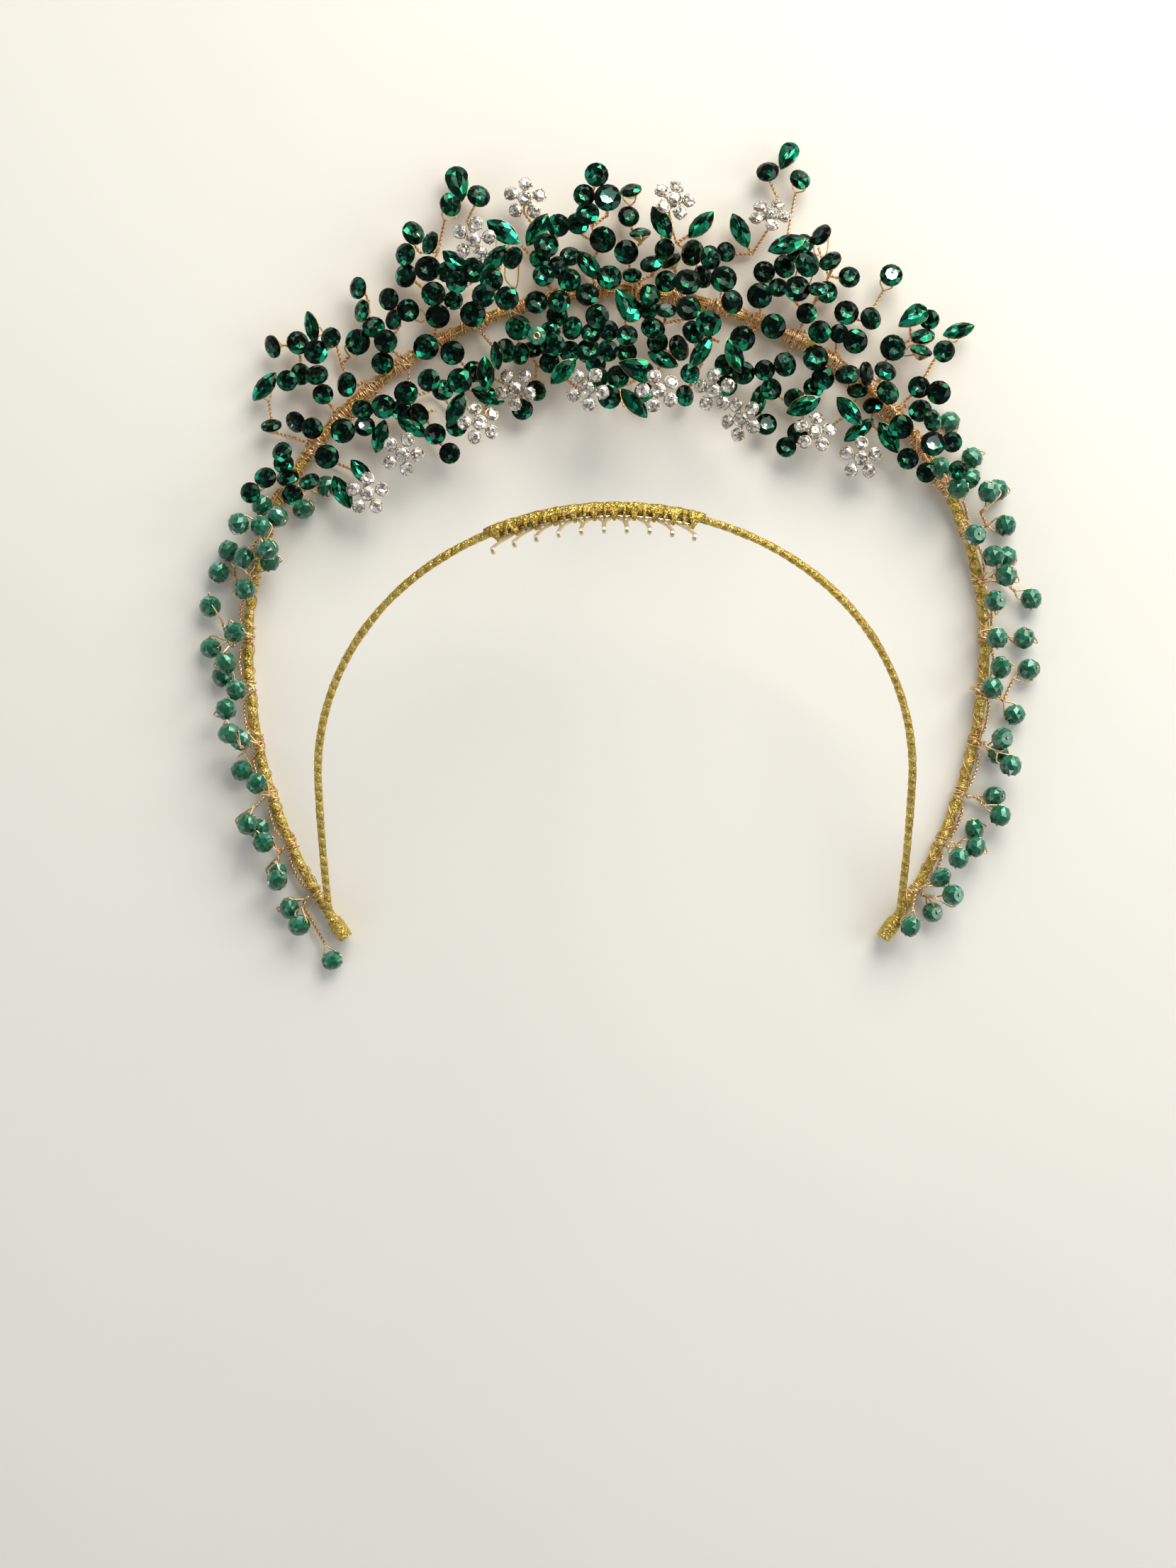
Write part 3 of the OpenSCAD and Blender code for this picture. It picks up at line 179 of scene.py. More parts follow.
LEFT_TOP = [
    [-47.0, 127.5, 5.6, 10, 90],
    [-43.2, 122.5, 5.5, 10, 200],
    [-41.4, 129.6, 5.6, 0, 0],
    [-41.6, 133.9, 9.3, 12, 160, "navette", 64],
    [-45.0, 138.9, 5.6, 16, 80],
    [-48.6, 141.4, 5.8, 10, 180],
    [-37.0, 143.6, 5.6, 12, 0],
    [-33.3, 137.4, 9.2, 10, 250, "navette", -22],
    [-40.6, 141.3, 6.4, 8, 250],
    [-33.9, 143.1, 9.2, 15, 0, "navette", 95],
    [-49.3, 150.0, 6.7, 5, 200],
    [-42.5, 148.5, 6.3, 8, 270],
    [-46.3, 158.0, 6.3, 25, 270],
    [-42.2, 162.1, 5.0, 10, 150],
    [-47.4, 163.8, 6.3, 15, 280],
    [-54.6, 168.5, 6.2, 30, 180],
    [-54.7, 174.0, 5.8, 30, 180],
    [-48.9, 170.3, 6.7, 8, 90],
    [-52.6, 179.5, 6.3, 36, 20],
    [-48.3, 177.0, 6.0, 50, 165],
    [-43.9, 169.4, 5.4, 10, 0],
    [-41.7, 172.1, 8.6, 10, 60, "navette", -40],
    [-41.4, 166.8, 5.6, 12, 270],
    [-37.2, 158.5, 6.7, 8, 220],
    [-37.2, 169.9, 6.5, 15, 0],
    [-31.5, 172.9, 9.0, 15, 140, "navette", 48],
    [-32.4, 167.4, 6.0, 8, 270],
    [-34.5, 163.3, 6.0, 15, 200],
    [-28.4, 162.6, 6.1, 10, 270],
    [-41.0, 192.2, 9.9, 12, 90, "pear", -77],
    [-43.0, 186.9, 6.1, 33, 0],
    [-35.7, 189.1, 6.1, 27, 40],
    [-26.9, 173.1, 5.9, 38, 160],
    [-29.4, 179.8, 10, 10, 230, "navette", -35],
    [-20.5, 180.4, 9.9, 10, 150, "navette", 56],
]
MIDDLE_TOP = [
    [-12.1, 173.5, 5.4, 20, 90],
    [-15.1, 170.6, 5.8, 30, 0],
    [-12.2, 167.3, 6.0, 0, 0],
    [-19.9, 172.9, 5.4, 12, 70],
    [-18.9, 168.5, 5.7, 10, 90],
    [-18.2, 176.3, 6.4, 10, 80],
    [-15.1, 181.5, 5.9, 5, 0],
    [-10.0, 182.0, 5.8, 15, 60],
    [-7.5, 184.6, 6.0, 10, 95],
    [-8.4, 189.3, 5.6, 12, 0],
    [-5.2, 194.6, 6.1, 5, 0],
    [3.7, 190.6, 5.6, 48, 105],
    [-2.3, 188.7, 6.9, 6, 90],
    [3.1, 183.8, 5.6, 15, 60],
    [6.1, 179.5, 5.6, 62, 95],
    [-7.2, 171.2, 9.5, 10, 60, "navette", -50],
    [-3.6, 177.8, 6.9, 5, 0],
    [2.5, 174.6, 6.3, 15, 320],
    [-7.6, 163.6, 6.0, 8, 90],
    [4.0, 168.6, 5.0, 35, 90],
    [-1.9, 168.0, 6.5, 10, 90],
    [13.9, 172.4, 5.8, 56, 125],
    [12.4, 175.4, 5.5, 28, 170],
    [9.0, 171.6, 5.9, 40, 110],
    [11.6, 182.2, 9.6, 12, 200, "navette", -61],
    [21.9, 181.7, 9.3, 12, 140, "navette", 45],
    [22.3, 168.2, 5.9, 36, 0],
    [12.8, 167.0, 5.6, 10, 200],
    [18.3, 166.8, 6.8, 8, 60],
    [19.6, 174.4, 6.8, 38, 180],
    [28.3, 174.6, 5.2, 20, 0],
    [24.3, 173.2, 6.2, 30, 0],
    [27.7, 167.6, 6.8, 5, 90],
]
MIDDLE_INSIDE = [
    [-24.4, 133.9, 5.6, 20, 270],
    [-20.8, 138.7, 5.5, 28, 20],
    [-21.9, 149.4, 5.6, 38, 90],
    [-17.0, 149.6, 5.5, 10, 290],
    [-17.4, 145.9, 5.3, 10, 270],
    [-24.9, 148.3, 5.8, 42, 180],
    [-28.6, 149.1, 6.2, 42, 0],
    [-31.1, 147.8, 7.4, 35, 180, "navette", 98],
    [-12.1, 148.8, 5.6, 5, 0],
    [-13.8, 143.7, 9.0, 12, 330, "navette", 45],
    [-15.4, 158.0, 5.6, 0, 0],
    [-17.2, 153.9, 5.4, 8, 190],
    [-16.1, 150.6, 5.6, 15, 250],
    [-25.5, 155.0, 6.6, 10, 100],
    [-20.6, 153.0, 4.8, 12, 250, "ring"],
    [-20.8, 161.6, 6.0, 8, 80],
    [-14.9, 161.8, 6.0, 12, 120],
    [-11.5, 154.9, 6.0, 36, 180],
    [-7.2, 148.9, 6.5, 12, 45],
    [-6.6, 153.6, 5.2, 12, 70],
    [-5.0, 158.0, 6.2, 10, 200],
    [-2.1, 154.3, 5.2, 10, 345],
    [2.6, 148.6, 5.4, 10, 0],
    [-2.3, 149.0, 5.6, 10, 180],
    [2.7, 153.0, 5.5, 12, 90],
    [-5.4, 145.6, 5.2, 0, 0],
    [-4.8, 142.2, 5.4, 8, 20],
    [0.3, 142.3, 5.8, 8, 20],
    [-1.8, 137.1, 6.0, 15, 250],
    [7.1, 138.3, 5.2, 15, 0],
    [4.5, 135.5, 9.7, 30, 45, "navette", -48],
    [5.0, 144.4, 9.2, 8, 270, "pear", 160],
    [10.6, 151.2, 5.6, 10, 180],
    [12.0, 146.9, 8.6, 12, 80, "navette", -25],
    [9.4, 154.9, 6.4, 28, 60],
    [8.2, 159.8, 5.2, 0, 0],
    [8.6, 163.5, 5.6, 15, 30],
    [2.7, 161.0, 9.8, 10, 30, "pear", 126],
    [12.8, 159.6, 5.4, 40, 90],
    [18.6, 160.1, 6.4, 8, 90],
    [16.2, 149.8, 6.8, 44, 10],
    [19.8, 153.9, 6.0, 30, 20],
    [21.8, 148.7, 9.4, 33, 150, "navette", 56],
    [23.8, 156.1, 6.6, 5, 0],
    [19.0, 143.2, 5.0, 20, 325],
    [17.7, 137.4, 5.6, 38, 0],
]
RIGHT_TOP = [
    [29.9, 161.7, 6.2, 28, 0],
    [28.5, 140.0, 5.5, 0, 0],
    [28.1, 145.4, 5.6, 0, 0],
    [32.8, 143.3, 6.0, 8, 270],
    [32.6, 152.2, 6.6, 5, 0],
    [30.5, 147.9, 9.3, 15, 20, "navette", -70],
    [36.7, 136.1, 8.4, 20, 0, "navette", 79],
    [32.0, 180.2, 9.6, 12, 20, "navette", -65],
    [41.8, 165.4, 5.0, 10, 90],
    [38.2, 169.4, 5.7, 5, 0],
    [37.0, 163.3, 6.6, 8, 270],
    [43.5, 170.9, 6.1, 26, 10],
    [46.5, 174.2, 4.8, 12, 45],
    [48.6, 176.8, 5.0, 14, 30],
    [44.0, 176.6, 10, 12, 100, "navette", 19],
    [49.4, 171.5, 6.8, 24, 0],
    [46.8, 165.1, 6.7, 8, 80],
    [54.4, 164.2, 5.8, 15, 0],
    [52.2, 165.1, 5.0, 40, 100],
    [44.2, 199.4, 8.1, 12, 80, "pear", -116],
    [39.1, 195.4, 5.9, 28, 115],
    [47.5, 193.4, 5.6, 28, 45],
    [52.9, 179.1, 6.0, 50, 146],
    [55.3, 172.3, 6.0, 44, 130],
    [60.2, 168.1, 5.6, 10, 90],
    [71.1, 168.6, 5.9, 10, 90],
    [49.2, 158.7, 5.4, 12, 200],
    [40.6, 155.4, 6.5, 10, 270],
    [59.5, 158.9, 6.4, 8, 80],
    [65.8, 157.4, 5.9, 25, 10],
]
RIGHT_SHOULDER = [
    [38.7, 130.0, 5.6, 5, 90],
    [40.0, 139.1, 5.6, 15, 0],
    [38.3, 144.0, 5.4, 8, 250],
    [43.6, 145.5, 6.3, 24, 0],
    [43.9, 124.1, 5.3, 8, 90],
    [46.8, 127.8, 5.4, 0, 0],
    [45.9, 136.7, 5.4, 28, 270],
    [51.0, 139.5, 5.4, 10, 90],
    [48.4, 134.8, 9.6, 10, 290, "navette", 24],
    [53.4, 141.9, 6.0, 10, 200],
    [51.5, 147.2, 6.7, 8, 45],
    [57.6, 153.5, 5.0, 10, 300],
    [52.6, 153.9, 6.0, 10, 200],
    [61.8, 151.5, 6.4, 8, 250],
    [71.5, 149.8, 6.8, 8, 0],
    [62.4, 138.8, 5.6, 45, 100],
    [64.7, 143.1, 6.2, 54, 0],
    [59.8, 142.9, 6.4, 35, 100],
    [66.4, 135.0, 5.4, 38, 120],
    [70.2, 138.2, 6.4, 28, 30],
    [69.6, 143.8, 5.8, 34, 60],
    [62.7, 128.5, 9.4, 33, 125, "navette", 37],
    [60.2, 133.5, 9.5, 12, 200, "navette", -49],
    [70.4, 126.6, 9.4, 12, 200, "navette", -59],
    [73.7, 129.4, 6.3, 8, 270],
    [75.4, 121.1, 5.6, 5, 90],
]
RIGHT_END = [
    [81.0, 157.1, 5.2, 20, 180],
    [76.6, 157.8, 8.8, 12, 90, "pear", 214],
    [79.3, 152.8, 6.2, 48, 100],
    [78.9, 149.0, 5.8, 60, 75],
    [84.8, 148.9, 5.7, 24, 300],
    [88.6, 154.3, 8.4, 20, 120, "navette", 14],
    [78.3, 139.6, 5.8, 5, 90],
    [83.4, 138.2, 6.2, 5, 200],
    [78.6, 133.5, 6.0, 30, 270],
    [81.8, 131.0, 5.7, 36, 0],
    [80.2, 117.5, 5.2, 10, 200],
    [88.4, 118.1, 5.0, 8, 0],
    [86.8, 125.4, 5.4, 8, 0],
    [81.9, 125.0, 6.4, 5, 90],
]
# Columns of the flowers' chart: x, y, turn of the first petal, lean off the front, its direction
FLOWERS = [
    [-64.5, 112.0, 90, 5, 0],
    [-55.4, 122.3, 70, 15, 300],
    [-35.5, 130.4, 36, 10, 45],
    [-26.3, 139.2, 52, 15, 200],
    [-7.6, 139.2, 130, 15, 200],
    [10.8, 138.7, 34, 5, 90],
    [25.2, 138.7, 90, 25, 200],
    [32.2, 131.3, 40, 30, 180],
    [51.3, 128.1, 10, 15, 90],
    [63.2, 121.2, 88, 5, 270],
    [39.8, 184.6, 130, 35, 90],
    [14.9, 188.3, 75, 25, 45],
    [-23.7, 188.4, 88, 5, 60],
    [-37.0, 177.9, 80, 15, 250],
]
# Columns of the beads' charts: x, y, size, turn of the hole seen from the front, lean
BEADS_LEFT = [
    [-75.1, 113.9, 5.3, 100, 0],
    [-81.0, 108.1, 5.3, 20, 20],
    [-91.8, 109.0, 5.3, 60, 0],
    [-87.9, 106.1, 5.5, -30, 20],
    [-92.2, 103.6, 5.2, 90, 0],
    [-97.9, 104.2, 5.5, 100, 0],
    [-89.8, 94.6, 5.2, 90, 0],
    [-90.4, 97.5, 5.5, 20, 30],
    [-100.5, 97.3, 5.4, 70, 0],
    [-96.4, 95.6, 5.5, 60, 10],
    [-103.0, 91.7, 5.5, 60, 0],
    [-96.2, 87.3, 5.5, 100, 0],
    [-105.2, 82.9, 5.7, 0, 70],
    [-98.8, 76.2, 5.4, 20, 30],
    [-105.1, 72.1, 5.4, 0, 40],
    [-102.1, 64.6, 5.3, 120, 0],
    [-101.2, 68.3, 5.5, 100, 20],
    [-98.4, 61.3, 5.5, 120, 0],
    [-101.1, 56.2, 5.4, 110, 0],
    [-97.3, 48.3, 5.2, 60, 0],
    [-100.3, 50.0, 5.4, 10, 20],
    [-97.0, 40.4, 5.6, 20, 0],
    [-93.2, 37.1, 5.2, 50, 0],
    [-92.5, 25.2, 5.0, 60, 0],
    [-95.6, 26.6, 5.5, 70, 20],
    [-91.4, 21.8, 5.4, 30, 0],
    [-87.9, 13.9, 5.2, 80, 0],
    [-87.9, 12.0, 5.3, 50, 30],
    [-84.7, 4.8, 5.2, 90, 20],
    [-82.2, 0.3, 5.6, 20, 30],
    [-73.6, -8.8, 5.0, 20, 0],
]
BEADS_RIGHT = [
    [86.1, 130.6, 5.4, 40, 0],
    [92.0, 121.3, 5.6, 110, 0],
    [83.6, 118.8, 5.6, 20, 0],
    [91.6, 116.0, 5.0, 60, 0],
    [88.4, 113.5, 5.7, 20, 10],
    [98.6, 113.0, 5.6, 80, 0],
    [96.3, 112.6, 5.5, 80, 20],
    [100.7, 103.8, 5.6, 80, 0],
    [92.8, 101.4, 5.7, 0, 70],
    [100.9, 95.6, 5.2, 60, 0],
    [97.5, 95.9, 5.6, 20, 0],
    [100.9, 90.9, 5.7, 60, 20],
    [98.0, 84.3, 5.6, 0, 60],
    [107.3, 84.8, 5.6, 90, 0],
    [98.5, 74.6, 5.5, 90, 0],
    [105.5, 74.7, 5.6, 70, 20],
    [99.5, 67.1, 5.5, 90, 30],
    [106.7, 66.6, 5.6, 10, 40],
    [97.2, 61.7, 5.6, 30, 0],
    [103.0, 54.8, 5.4, 30, 0],
    [98.8, 44.7, 5.4, 20, 0],
    [99.9, 48.7, 5.7, 0, 70],
    [102.0, 41.7, 5.8, 80, 0],
    [97.8, 33.8, 5.2, 0, 40],
    [99.3, 28.7, 5.6, 70, 0],
    [92.6, 25.2, 5.0, 100, 0],
    [92.9, 20.6, 5.2, 60, 0],
    [88.6, 17.7, 5.4, 70, 0],
    [83.9, 12.7, 4.8, 40, 30],
    [87.1, 8.2, 5.6, 0, 60],
    [81.8, 3.7, 5.4, 0, 70],
    [76.1, 0.0, 5.0, 60, 0],
]

# Forks where a twig divides on its way to its outer stones: x, y
FORKS = [
    [-83.2, 126.2],
    [-81.5, 146.6],
    [-71.0, 145.0],
    [-64.0, 161.5],
    [-50.8, 174.0],
    [-38.6, 182.2],
    [-24.6, 175.8],
    [-24.0, 184.5],
    [-2.6, 183.5],
    [-5.6, 177.0],
    [15.5, 176.5],
    [35.0, 173.6],
    [41.5, 188.2],
    [52.0, 175.4],
    [63.5, 149.5],
    [76.0, 151.5],
    [73.5, 134.8],
    [-46.8, 133.4],
    [-20.6, 144.5],
    [26.4, 151.0],
    [43.0, 136.0],
    [66.0, 129.5],
]


# Places along the hoops and in the chart

def cosd(angle):
    return math.cos(math.radians(angle))


def sind(angle):
    return math.sin(math.radians(angle))


def length(v):
    return math.sqrt(float(np.dot(v, v)))


def along(arcs, s):
    """Point and turn on a chain of arcs at a distance from its top."""
    x, y, turn = 0.0, 0.0, 0.0
    for i, (radius, angle) in enumerate(arcs):
        full = radius * math.radians(angle)
        last = i == len(arcs) - 1
        b = turn + math.degrees(min(s, full) / radius) if not last else turn + math.degrees(s / radius)
        x += radius * (sind(b) - sind(turn))
        y -= radius * (cosd(turn) - cosd(b))
        if s <= full or last:
            return x, y, b
        s, turn = s - full, b


def chain_length(arcs):
    return sum(radius * math.radians(angle) for radius, angle in arcs)


def halo_at(s):
    """Point and turn of the halo band; negative distances run down its left side."""
    side = -1 if s < 0 else 1
    x, y, turn = along(HALO_LEFT if s < 0 else HALO_RIGHT, abs(s))
    return side * x, HALO_TOP + y, -side * turn


def seen(x, y, z):
    """The part's place of a charted place at a height, drawn in towards the line of sight."""
    p = VIEW + (np.array([x, y]) - VIEW) * (1 - z / VIEW_D) - MIDDLE
    return np.array([p[0], p[1], z])


def flat(x, y, z):
    return np.array([x - MIDDLE[0], y - MIDDLE[1], z])


def facing(lean, toward):
    return np.array([sind(lean) * cosd(toward), sind(lean) * sind(toward), cosd(lean)])


def band_place(s):
    """Place of the halo band's middle at a distance from its top."""
    x, y, _ = halo_at(s)
    return flat(x, y, BAND_Z)


def turned_z(angle):
    return np.array([[cosd(angle), -sind(angle), 0], [sind(angle), cosd(angle), 0], [0, 0, 1]])


def turned_y(angle):
    return np.array([[cosd(angle), 0, sind(angle)], [0, 1, 0], [-sind(angle), 0, cosd(angle)]])


def turned_x(angle):
    return np.array([[1, 0, 0], [0, cosd(angle), -sind(angle)], [0, sind(angle), cosd(angle)]])


def circle(number):
    """Angles of points spread evenly round a circle."""
    return np.arange(number) * 2 * math.pi / number


LASHINGS = [(i - (SPRAYS - 1) / 2) * SPRAY_STEP for i in range(SPRAYS)]
LASHINGS += [side * (TWIG_FIRST + i * TWIG_STEP) for side in (-1, 1) for i in range(TWIGS)]
NAMES = ["spray_%02d" % (i + 1) for i in range(SPRAYS)]
NAMES += ["bead_twig_%s_%d" % (side, i + 1) for side in ("left", "right") for i in range(TWIGS)]
HUBS = [halo_at(s) for s in LASHINGS]


def hub_at(h):
    return band_place(LASHINGS[h])


def hub_out(h):
    return np.array([-sind(HUBS[h][2]), cosd(HUBS[h][2]), 0])


def nearest_hub(x, y):
    return min(range(len(HUBS)), key=lambda h: math.hypot(HUBS[h][0] - x, HUBS[h][1] - y))


def outside(h, p):
    """How far a place lies outside the band, measured from a lashing near it."""
    d = p[:2] - hub_at(h)[:2]
    run = d[0] * cosd(HUBS[h][2]) + d[1] * sind(HUBS[h][2])
    return float(np.dot(d, hub_out(h)[:2])) + run * run / (2 * BEND_R)


# Stones, flowers and beads, each laid over those that it hides

class Item:
    """One stone, flower or bead of the chart, with its place on the crown."""

    def __init__(self, x, y, size, lean, toward, kind="round", turn=0):
        self.x, self.y, self.size, self.turn, self.lean, self.toward = x, y, size, turn, lean, toward
        self.kind = kind
        self.bead = kind == "bead"
        self.flower = kind == "flower"
        self.long = kind in ("navette", "pear")
        p = seen(x, y, USUAL_Z)
        self.owner = nearest_hub(p[0] + MIDDLE[0], p[1] + MIDDLE[1])
        if self.bead:
            self.axes = turned_z(turn) @ turned_y(-lean)
        else:
            self.axes = turned_z(toward) @ turned_y(lean) @ turned_z(turn - toward)

    def discs(self):
        """Discs that cover the item in the chart: x, y, radius."""
        size = self.size
        spots = [(0, size / 2)]
        if self.kind == "navette":
            spots = [(0.2, size * 0.24), (-0.2, size * 0.24)]
        if self.kind == "pear":
            spots = [(0.22, size * 0.2), (-0.18, size * 0.31)]
        way = np.array([cosd(self.turn), sind(self.turn)]) * size
        return [(self.x + share * way[0], self.y + share * way[1], r) for share, r in spots]

    def crown_h(self):
        return FLOWER_CROWN if self.flower else self.size * (LONG_CROWN if self.long else CROWN_SHARE)

    def back_h(self):
        return FLOWER_BACK if self.flower else self.size * (LONG_BACK if self.long else BACK_SHARE)

    def reach(self):
        if self.long:
            return self.size * (0.25 + 0.25 * abs(cosd(self.turn - self.toward)))
        return self.size / 2

    def down_h(self):
        if self.bead:
            return max(self.size / 2, (BEAD_L / 2 + LOOP_OFF) * sind(self.lean))
        if self.flower:
            return STEM_END + self.reach() * sind(self.lean) * 0.5
        return max(self.back_h() * cosd(self.lean), self.reach() * sind(self.lean))

    def least_z(self):
        near = self.reach() + (BEAD_OVER_BAND if self.bead else OVER_BAND)
        if abs(outside(self.owner, seen(self.x, self.y, USUAL_BACK_Z))) < near:
            return self.down_h() + (BEAD_ABOVE_Z if self.bead else ABOVE_Z)
        return self.down_h() + (BEAD_BESIDE_Z if self.bead else BESIDE_Z)

    def plane_z(self, x, y):
        """Height of the item's own plane at a place beside it."""
        n, p = facing(self.lean, self.toward), self.place
        return p[2] - (n[0] * (x - p[0]) + n[1] * (y - p[1])) / n[2]

    def rise_over(self, under):
        """Rise this item needs over another that it overlaps."""
        if abs(self.x - under.x) + abs(self.y - under.y) > 22:
            return -100
        ball = 1 if self.bead or under.bead else 0.7 * sind(max(self.lean, under.lean))
        thick = under.crown_h() + self.back_h()
        best = -100
        for ax, ay, ar in self.discs():
            for bx, by, br in under.discs():
                s, r = math.hypot(ax - bx, ay - by), ar + br + 0.4
                if s < r:
                    sunk = (1 - ball) * thick * min(1, (r - s) / (0.72 * r))
                    best = max(best, 0.25 + sunk + ball * math.sqrt(r * r - s * s))
        return best


def placed_items(stones):
    """The items, each laid on those before it: beads lowest, then stones, then flowers."""
    items = [Item(x, y, size, lean, 0, "bead", turn) for x, y, size, turn, lean in BEADS_LEFT + BEADS_RIGHT]
    items += [Item(*row) for row in stones]
    items += [Item(x, y, FLOWER_D, lean, toward, "flower", turn) for x, y, turn, lean, toward in FLOWERS]
    for k, item in enumerate(items):
        rises = [under.place[2] + item.rise_over(under) for under in items[:k]]
        item.place = seen(item.x, item.y, max([item.least_z()] + rises))
    return items


ITEMS = placed_items(
    LEFT_END + LEFT_SHOULDER + LEFT_TOP + MIDDLE_TOP + MIDDLE_INSIDE + RIGHT_TOP + RIGHT_SHOULDER + RIGHT_END
)


def room(p, item):
    """Room between a place and the items that lie lower than this one."""
    best = 9
    for other in ITEMS:
        near = abs(other.place[0] - p[0]) + abs(other.place[1] - p[1]) < 12
        if other is not item and other.place[2] < item.place[2] + 1 and near:
            for x, y, r in other.discs():
                d = math.hypot(other.place[0] + x - other.x - p[0], other.place[1] + y - other.y - p[1])
                best = min(best, d - r)
    return best


# Routes of the twigs

def back_of(item):
    """Where an item's wire comes up to it: under its back, or off to the side that has room."""
    n, p = facing(item.lean, item.toward), item.place
    if item.flower:
        return p - STEM_END * n
    spots = [p[:2] - item.back_h() * 0.8 * n[:2]]
    off = 0.42 * item.reach() * cosd(item.lean)
    spots += [p[:2] + off * np.array([cosd(a), sind(a)]) for a in range(0, 331, 30)]
    rooms = [9 if room(q, item) > 0.7 else room(q, item) for q in spots]
    x, y = spots[rooms.index(max(rooms))]
    return np.array([x, y, item.plane_z(x, y) - 0.4])


def mouth_of(item):
    """Where a bead's wire divides into its loop."""
    out = outside(item.owner, item.place)
    side = 0 if abs(out) < 5 else math.copysign(3.4, out)
    way = (hub_at(item.owner) + side * hub_out(item.owner) - item.place)[:2]
    reach = (item.size / 2 + 1.9) / length(way)
    return item.place + reach * np.array([way[0], way[1], 0])


class Foot:
    """A point of a lashing's twigs: under an item, or at a fork."""

    def __init__(self, h, top, item=None):
        out = outside(h, top)
        self.side = 0 if abs(out) < 2.6 else int(math.copysign(1, out))
        self.top, self.item, self.parent, self.children = top, item, None, 0
        self.z = BAND_Z + KNOB_R if self.side == 0 else BAND_Z
        self.place = np.array([top[0], top[1], self.z])
        self.way = math.hypot(*(top - hub_at(h))[:2])


def feet(h):
    """All feet of a lashing's twigs, each with the foot that it branches from."""
    found = [Foot(h, mouth_of(t) if t.bead else back_of(t), t) for t in ITEMS if t.owner == h]
    found += [Foot(h, flat(x, y, BAND_Z)) for x, y in FORKS if nearest_hub(x, y) == h]
    for foot in found:
        nearer = [g for g in found if g.side == foot.side and g.way <= foot.way - 0.3]
        best = min(nearer, key=lambda g: math.hypot(*(g.top - foot.top)[:2]), default=None)
        if best is not None and math.hypot(*(best.top - foot.top)[:2]) < 0.85 * foot.way:
            foot.parent = best
            best.children += 1
    return found


FEET = [feet(h) for h in range(len(HUBS))]


def knob(h, side):
    """Where a twig leaves its lashing."""
    return hub_at(h) + KNOB_R * (np.array([0, 0, 1]) if side == 0 else side * hub_out(h))


# Building meshes

class Piece:
    """Collects the faces of one visible piece, in millimetres, with a shade for each face."""

    def __init__(self, name, slot, material, smooth=False):
        self.name, self.slot, self.material, self.smooth = name, slot, material, smooth
        self.points, self.corners, self.sizes, self.shades, self.count = [], [], [], [], 0

    def add(self, points, faces, shades, axes=None, place=None):
        """Adds a part of the piece: points in its own axes, and blocks of rows of point numbers."""
        points = np.asarray(points, float)
        if axes is not None:
            points = points @ axes.T + place
        for block in faces:
            self.corners.append((block + self.count).ravel())
            self.sizes.append(np.full(len(block), block.shape[1]))
        self.shades.append(np.broadcast_to(np.asarray(shades, float), (sum(len(b) for b in faces),)))
        self.points.append(points)
        self.count += len(points)

    def build(self, replaced=()):
        """Makes the mesh object, which rides on the crown's one body."""
        if not self.points:
            return
        corners, sizes = np.concatenate(self.corners), np.concatenate(self.sizes)
        mesh = bpy.data.meshes.new(self.name)
        mesh.vertices.add(self.count)
        mesh.vertices.foreach_set("co", (np.concatenate(self.points) * MM).ravel())
        mesh.loops.add(len(corners))
        mesh.loops.foreach_set("vertex_index", corners.astype(np.int32))
        mesh.polygons.add(len(sizes))
        mesh.polygons.foreach_set("loop_start", (np.cumsum(sizes) - sizes).astype(np.int32))
        mesh.polygons.foreach_set("loop_total", sizes.astype(np.int32))
        mesh.polygons.foreach_set("use_smooth", np.full(len(sizes), self.smooth))
        mesh.attributes.new("shade", "FLOAT", "FACE").data.foreach_set("value", np.concatenate(self.shades))
        mesh.update(calc_edges=True)
        mesh.validate()
        mesh.materials.append(self.material)
        piece = bpy.data.objects.new(self.name, mesh)
        bpy.context.scene.collection.objects.link(piece)
        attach(piece, "root")
        if replaced:
            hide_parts(*replaced)


def tube_faces(rings, sides):
    """Faces of a tube of rings of points, with a fan at each end."""
    i = np.arange(rings - 1)[:, None] * sides
    j = np.arange(sides)[None, :]
    k = (j + 1) % sides
    wall = np.stack([i + j, i + k, i + k + sides, i + j + sides], -1).reshape(-1, 4)
    first, last = rings * sides, rings * sides + 1
    end = (rings - 1) * sides
    j, k = j[0], k[0]
    start_cap = np.stack([k, j, np.full(sides, first)], -1)
    end_cap = np.stack([end + j, end + k, np.full(sides, last)], -1)
    return [wall, np.concatenate([start_cap, end_cap])]


def directions(path):
    """Tangents of a path of points."""
    d = np.gradient(path, axis=0)
    return d / np.maximum(np.linalg.norm(d, axis=1), 1e-9)[:, None]


def frames(path):
    """Two cross directions at each point of a path, carried along it without a twist."""
    t = directions(path)
    normals = np.zeros_like(path)
    n = np.array([0, 0, 1.0]) if abs(t[0][2]) < 0.8 else np.array([1.0, 0, 0])
    for i, tangent in enumerate(t):
        n = n - np.dot(n, tangent) * tangent
        n = n / math.sqrt(np.dot(n, n))
        normals[i] = n
    return t, normals, np.cross(t, normals)


def frames_across(path, across):
    """The same, with the first cross direction as near as can be to a given one."""
    t = directions(path)
    n = across - (t @ across)[:, None] * t
    n = n / np.linalg.norm(n, axis=1)[:, None]
    return t, n, np.cross(t, n)


